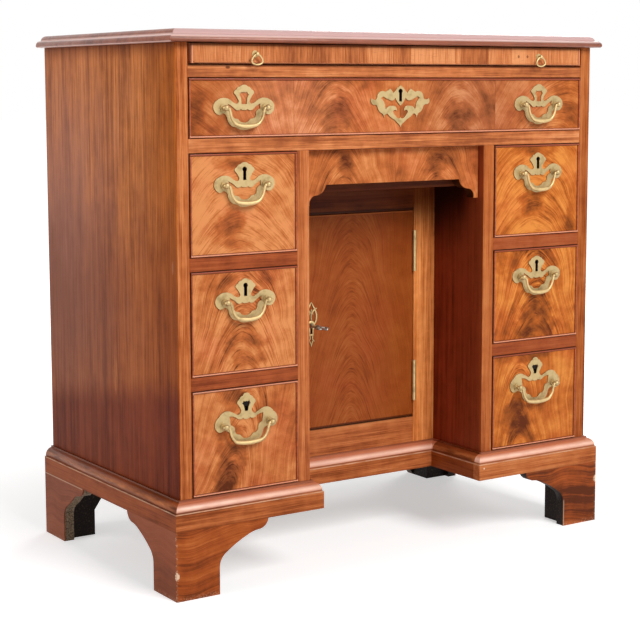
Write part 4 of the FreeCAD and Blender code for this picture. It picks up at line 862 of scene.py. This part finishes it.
def normals(path, looped=False):
    """Unit normals of a plane path: a quarter turn from the way between each point's neighbours."""
    way = np.roll(path, -1, axis=0) - np.roll(path, 1, axis=0) if looped else np.gradient(path, axis=0)
    across = np.stack((-way[:, 1], way[:, 0]), axis=-1)
    return across / np.linalg.norm(across, axis=1, keepdims=True)


def rings_along(middle, half, deep, around=14):
    """Rings of points: at each place an oval, half its width along a plane vector times the cosine of a turn
    and its depth times the sine of the turn."""
    turn = np.linspace(0, 2 * np.pi, around, endpoint=False)[None, :, None]
    flat = middle[:, None] + half[:, None] * np.cos(turn)
    return np.concatenate((flat, np.broadcast_to(deep, len(middle))[:, None, None] * np.sin(turn)), axis=-1)


def skin(rings, looped=False):
    """Points and faces over rings of points, closed into a loop or with a fan of faces on each end."""
    rows, around = rings.shape[:2]
    points = rings.reshape(-1, 3)
    grid = np.arange(rows * around).reshape(rows, around)
    if looped:
        grid = np.vstack((grid, grid[:1]))
    ahead = np.roll(grid, -1, axis=1)
    faces = np.stack((grid[:-1], ahead[:-1], ahead[1:], grid[1:]), axis=-1).reshape(-1, 4).tolist()
    if not looped:
        points = np.vstack((points, rings[[0, -1]].mean(axis=1)))
        for row, pole in ((0, rows * around), (-1, rows * around + 1)):
            faces += np.stack((grid[row], ahead[row], np.full(around, pole)), axis=-1).tolist()
    return points, faces


def band(rows, count=28):
    """A tapering strip: an oval of given half width and half depth carried along a smooth plane line."""
    line = curve(rows, count)
    return skin(rings_along(line[:, :2], normals(line[:, :2]) * line[:, 2:3], line[:, 3]))


def lathe(rows, around=20):
    """A turned form about the second axis: circles of given radius at given places along it."""
    place, radius = np.array(rows, dtype=float).T[:, :, None]
    return skin(rings_along(np.hstack((0 * place, place)), np.hstack((radius, 0 * radius)), radius[:, 0], around))


def mirrored(parts):
    """Parts and their mirror images across the first axis."""
    return [(points * way, faces) for points, faces in parts for way in ((1, 1, 1), (-1, 1, 1))]


def forge(name, parts, origin, axes, material, body, node):
    """One mesh piece from parts in millimetres, set at an origin with their three axes laid along the desk's."""
    points, faces, count = [], [], 0
    for part_points, part_faces in parts:
        points.append(part_points)
        faces += [[corner + count for corner in face] for face in part_faces]
        count += len(part_points)
    placed = (origin + np.vstack(points) @ np.array(axes)) / TO_MM
    mesh = bpy.data.meshes.new(name)
    mesh.from_pydata(placed.tolist(), [], faces)
    shell = bmesh.new()
    shell.from_mesh(mesh)
    bmesh.ops.recalc_face_normals(shell, faces=shell.faces)
    shell.to_mesh(mesh)
    shell.free()
    mesh.shade_smooth()
    mesh.materials.append(material)
    piece = added(name, mesh)
    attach(piece, body)
    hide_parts(node)


# Bails, in millimetres: pin and grip radius, the pin's drop under the bail's head, the grip's rise over its foot
PIN_RADIUS, GRIP_RADIUS, PIN_DROP, GRIP_RISE = 1.75, 3.4, 1.9, 3.5
# Drop rings: half width, height and radius of the wire
DROP_RING = (8.4, 14.6, 1.3)
# Rows of the door escutcheon: place across and up from the key, half width and half depth
SCROLLS = (
    ((0, 37.4, 0.3, 0.5), (2.4, 33, 1.1, 0.9), (4.6, 28.8, 1.5, 1), (8, 26.4, 1.2, 0.9), (11, 27.4, 0.5, 0.5)),
    ((4.2, 30, 0.5, 0.6), (7.4, 24, 1.4, 1), (9.7, 17, 1.7, 1), (9.4, 10, 1.6, 1), (7.6, 5, 1.4, 1),
     (5, 2, 0.7, 0.6)),
    ((0, 26, 1.2, 0.8), (0, 18, 1.7, 1), (0, 8, 1.4, 0.9)),
    ((3.4, 17.6, 0.4, 0.5), (2.4, 21, 1, 0.8), (5, 24.6, 1.2, 0.8), (7, 22.6, 0.5, 0.5)),
    ((3.8, -13, 0.7, 0.7), (2.4, -16.6, 1.1, 0.9), (2.2, -20.6, 1.1, 0.9), (5.8, -24.6, 0.5, 0.5)),
    ((4.4, -22.6, 0.4, 0.5), (1.8, -26, 1.2, 0.9), (0.5, -29.6, 0.9, 0.8), (0, -33, 0.3, 0.4)),
)
# Rows of the keyhole's rim: inner place across and up, then outer place
RIM = ((0, 4, 0, 8.6), (2.8, 2.8, 4.6, 6.6), (4, 0, 7, 1.2), (3.4, -2.1, 6.4, -3.2), (1.9, -3.6, 4.4, -6.2),
       (1.9, -8, 4, -10), (1.9, -12.2, 3.6, -13.6), (0, -12.6, 0, -16.4))
# Rows of the key's bow: place across and out from the door, half width and half depth
BOW = (
    ((0.6, 24.4, 1.5, 1.5), (5, 25.4, 1.5, 1.4), (9.2, 29, 1.5, 1.4), (9.4, 34, 1.5, 1.4), (6, 37.4, 1.3, 1.3),
     (3.2, 35.4, 1.1, 1.2), (4.4, 32.6, 0.8, 0.9)),
    ((4.6, 37.6, 0.9, 1), (2.8, 41, 1.3, 1.2), (0, 43.6, 1.2, 1.2)),
)
STEM = ((-15.4, 2.2), (-15, 2.6), (0.6, 2.6), (1.6, 4), (3, 4), (4, 2.7), (8, 2.5), (14, 2.5), (16.4, 2.8),
        (17.6, 3.9), (19, 3.9), (20, 2.9), (21.6, 3.6), (23.4, 3.6), (25, 2.3), (27, 1.5), (38, 1.2),
        (42.6, 1.2), (43.4, 1.8), (44.8, 2.1), (46.2, 1.6), (46.9, 0.5))


def keyhole_rim():
    """The rim: an oval section carried round the keyhole, its ends on an inner and an outer outline."""
    half = curve(RIM, 33)
    whole = np.vstack((half, half[-2:0:-1] * (-1, 1, -1, 1)))
    inner, outer = whole[:, :2], whole[:, 2:]
    return skin(rings_along((inner + outer) / 2, (outer - inner) / 2, 1.0), True)


def pear_ring(half_width, height, wire):
    """A pear-shaped drop: a circle's sine across, narrowed toward the top by its cosine, with a round wire."""
    turn = np.linspace(0, 2 * np.pi, 56, endpoint=False)
    path = np.stack((half_width * np.sin(turn) * (1 - 0.35 * np.cos(turn)), height / 2 * np.cos(turn)), axis=-1)
    return skin(rings_along(path, normals(path, True) * wire, wire, 12), True)


def cast_bail(reach, drop):
    """A hanging bail: a round bar from one pin, down, across a swelling grip and up to the other pin."""
    pin = ((0, 0, PIN_RADIUS), (7, 0, PIN_RADIUS), (10.2, -1.2, 2))
    arm = ((12, -0.22 * drop, 1.9), (14, -0.5 * drop, 1.9), (18.2, -0.76 * drop, 2.1), (25, -0.93 * drop, 2.8))
    left = np.array(pin + arm) - (reach, 0, 0)
    whole = np.vstack((left, ((0, -drop, GRIP_RADIUS),), left[::-1] * (-1, 1, 1)))
    return band(whole[:, (0, 1, 2, 2)], 96)


class DESK_OT_brass(bpy.types.Operator):
    """Finish the handles, plates and hinges, and make the drop rings and the door's escutcheon"""
    bl_idname = "desk.brass"
    bl_label = "Brass work"

    def execute(self, context):
        metal, edge = context.scene.desk_metal, context.scene.desk_size.brass_edge
        brass = cast_brass("cast_brass", metal)
        # Plate faces in a darker copy of the brass, and their bevelled rims in a paler copy as a painted highlight
        dress(ending("_fittings", "_plates", "_escutcheon"), cast_brass("plate_brass", metal, 0.8), edge,
              cast_brass("rim_brass", metal, 1.42))
        dress(ending("_bail", "_ring", "_eyes", "_leaves"), brass)
        upright = ((1, 0, 0), (0, 0, 1), (0, -1, 0))
        for side in ("left", "right"):
            ring = side + "_slide_ring"
            forge(side + "_drop_ring", [pear_ring(*DROP_RING)], middle_of(ring), upright, brass, side + "_ring",
                  ring)
        for name in ending("_bail"):
            low, high = corners(name)
            pivot = (*middle_of(name)[:2], high[2] - PIN_DROP)
            bar = cast_bail((high[0] - low[0]) / 2, pivot[2] - low[2] - GRIP_RISE)
            body = name.replace("_drawer", "")
            forge(body + "_cast", [bar], pivot, upright, brass, body, name)
        parts = mirrored([band(rows) for rows in SCROLLS]) + [keyhole_rim()]
        forge("pierced_escutcheon", parts, (KEY[0], middle_of("door_escutcheon")[1], KEY[2]), upright, brass, "door",
              "door_escutcheon")
        return {"FINISHED"}


class DESK_OT_steel(bpy.types.Operator):
    """Finish the locks and the bolt, and make the key"""
    bl_idname = "desk.steel"
    bl_label = "Steel"

    def execute(self, context):
        steel = bright_steel(context.scene.desk_metal)
        dress(("door_lock", "door_bolt", "door_key", "long_drawer_lock"), steel)
        level = ((1, 0, 0), (0, -1, 0), (0, 0, 1))
        forge("scroll_key", mirrored([band(rows) for rows in BOW]) + [lathe(STEM)], KEY, level, steel, "key",
              "door_key")
        return {"FINISHED"}


# Stage: places and targets of the lamps, place and turn of the camera, in metres and degrees
LAMPS = {"key": ((0.3, -3, 2.6), (0, -0.2, 0.45)), "fill": ((-3.2, 0.2, 1.75), (0, 0, 0.45)),
         "back": ((2.5, 2.4, 2), (0, 0, 0.45))}
LAMP_SIZE, FLOOR_REACH = 1.6, 30.0
EYE, EYE_TURN = (-1.449, -2.1824, 0.7219), (83.121, 0.125, -33.486)
WHITE, FLOOR_GREY = (1, 1, 1, 1), (0.8, 0.8, 0.8, 1)


def lamp(name, watts, place, target):
    """A square soft lamp at a place, turned to a target."""
    light = bpy.data.lights.new(name, "AREA")
    light.energy, light.size = watts, LAMP_SIZE
    made = added(name, light)
    made.location = place
    way = np.subtract(target, place)
    made.rotation_euler = (math.acos(-way[2] / np.linalg.norm(way)), 0, math.atan2(-way[0], way[1]))


def pale_floor():
    """A wide level sheet under the desk: white to the camera and to metal, and shaded by the desk."""
    sheet = np.array(((-1, -1, 0), (1, -1, 0), (1, 1, 0), (-1, 1, 0))) * FLOOR_REACH
    mesh = bpy.data.meshes.new("floor")
    mesh.from_pydata(sheet.tolist(), [], [(0, 1, 2, 3)])
    material, point, place = start("floor_white")
    tree = material.node_tree
    tree.nodes.remove(tree.nodes["Principled BSDF"])
    seen = seen_ray(tree)
    far = point.node("VectorMath", {"operation": "LENGTH"}, {0: point}, "Value").step(400, 1300)
    matt = seen.node("BsdfDiffuse", {}, {"Color": FLOOR_GREY})
    glow = seen.node("Emission", {}, {"Color": WHITE, "Strength": seen * (far * 0.5 + 0.5)})
    both = seen.node("AddShader", {}, {0: matt, 1: glow})
    tree.links.new(both.socket, tree.nodes["Material Output"].inputs["Surface"])
    mesh.materials.append(material)
    floor = added("floor", mesh)


def seen_ray(tree):
    """1 for rays that reach the camera straight, by a mirror or through glass."""
    path = tree.nodes.new("ShaderNodeLightPath")
    camera, glossy, through = (Value(tree, path.outputs[name])
                               for name in ("Is Camera Ray", "Is Glossy Ray", "Is Transmission Ray"))
    return camera.most(glossy).most(through)


class DESK_OT_stage(bpy.types.Operator):
    """Make the floor, the light and the camera"""
    bl_idname = "desk.stage"
    bl_label = "Stage"

    def execute(self, context):
        scene, stage = context.scene, context.scene.desk_stage
        scene.view_settings.view_transform = "Standard"
        pale_floor()
        scene.world = bpy.data.worlds.new("room")
        scene.world.use_nodes = True
        tree = scene.world.node_tree
        seen = seen_ray(tree)
        sky = tree.nodes["Background"].inputs
        feed(tree, sky["Color"], WHITE)
        feed(tree, sky["Strength"], seen * (1 - stage.room) + stage.room)
        for name, (place, target) in LAMPS.items():
            lamp(name, getattr(stage, name + "_power"), place, target)
        camera = bpy.data.cameras.new("camera")
        camera.lens, camera.shift_y = stage.lens, stage.shift
        eye = added("camera", camera)
        eye.location = EYE
        eye.rotation_euler = np.radians(EYE_TURN)
        scene.camera = eye
        return {"FINISHED"}


class DESK_PT_panel(bpy.types.Panel):
    """The desk's pieces and settings"""
    bl_idname = "DESK_PT_panel"
    bl_label = "Kneehole desk"
    bl_space_type = "VIEW_3D"
    bl_region_type = "UI"
    bl_category = "Desk"

    def draw(self, context):
        for operator in OPERATORS:
            self.layout.operator(operator.bl_idname)
        for name, group in GROUPS.items():
            for setting in group.__annotations__:
                self.layout.prop(getattr(context.scene, name), setting)


GROUPS = {"desk_wood": DeskWood, "desk_metal": DeskMetal, "desk_size": DeskSize, "desk_stage": DeskStage}
OPERATORS = (DESK_OT_carcase, DESK_OT_fronts, DESK_OT_cupboard, DESK_OT_linings, DESK_OT_brass, DESK_OT_steel,
             DESK_OT_stage)


def register():
    for group in (*GROUPS.values(), *OPERATORS, DESK_PT_panel):
        bpy.utils.register_class(group)
    for name, group in GROUPS.items():
        setattr(bpy.types.Scene, name, PointerProperty(type=group))


def unregister():
    for name in GROUPS:
        delattr(bpy.types.Scene, name)
    for group in (DESK_PT_panel, *reversed(OPERATORS), *reversed(GROUPS.values())):
        bpy.utils.unregister_class(group)


def main():
    register()
    bpy.ops.desk.carcase()
    bpy.ops.desk.fronts()
    bpy.ops.desk.cupboard()
    bpy.ops.desk.linings()
    bpy.ops.desk.brass()
    bpy.ops.desk.steel()
    bpy.ops.desk.stage()


if __name__ == "__main__":
    main()
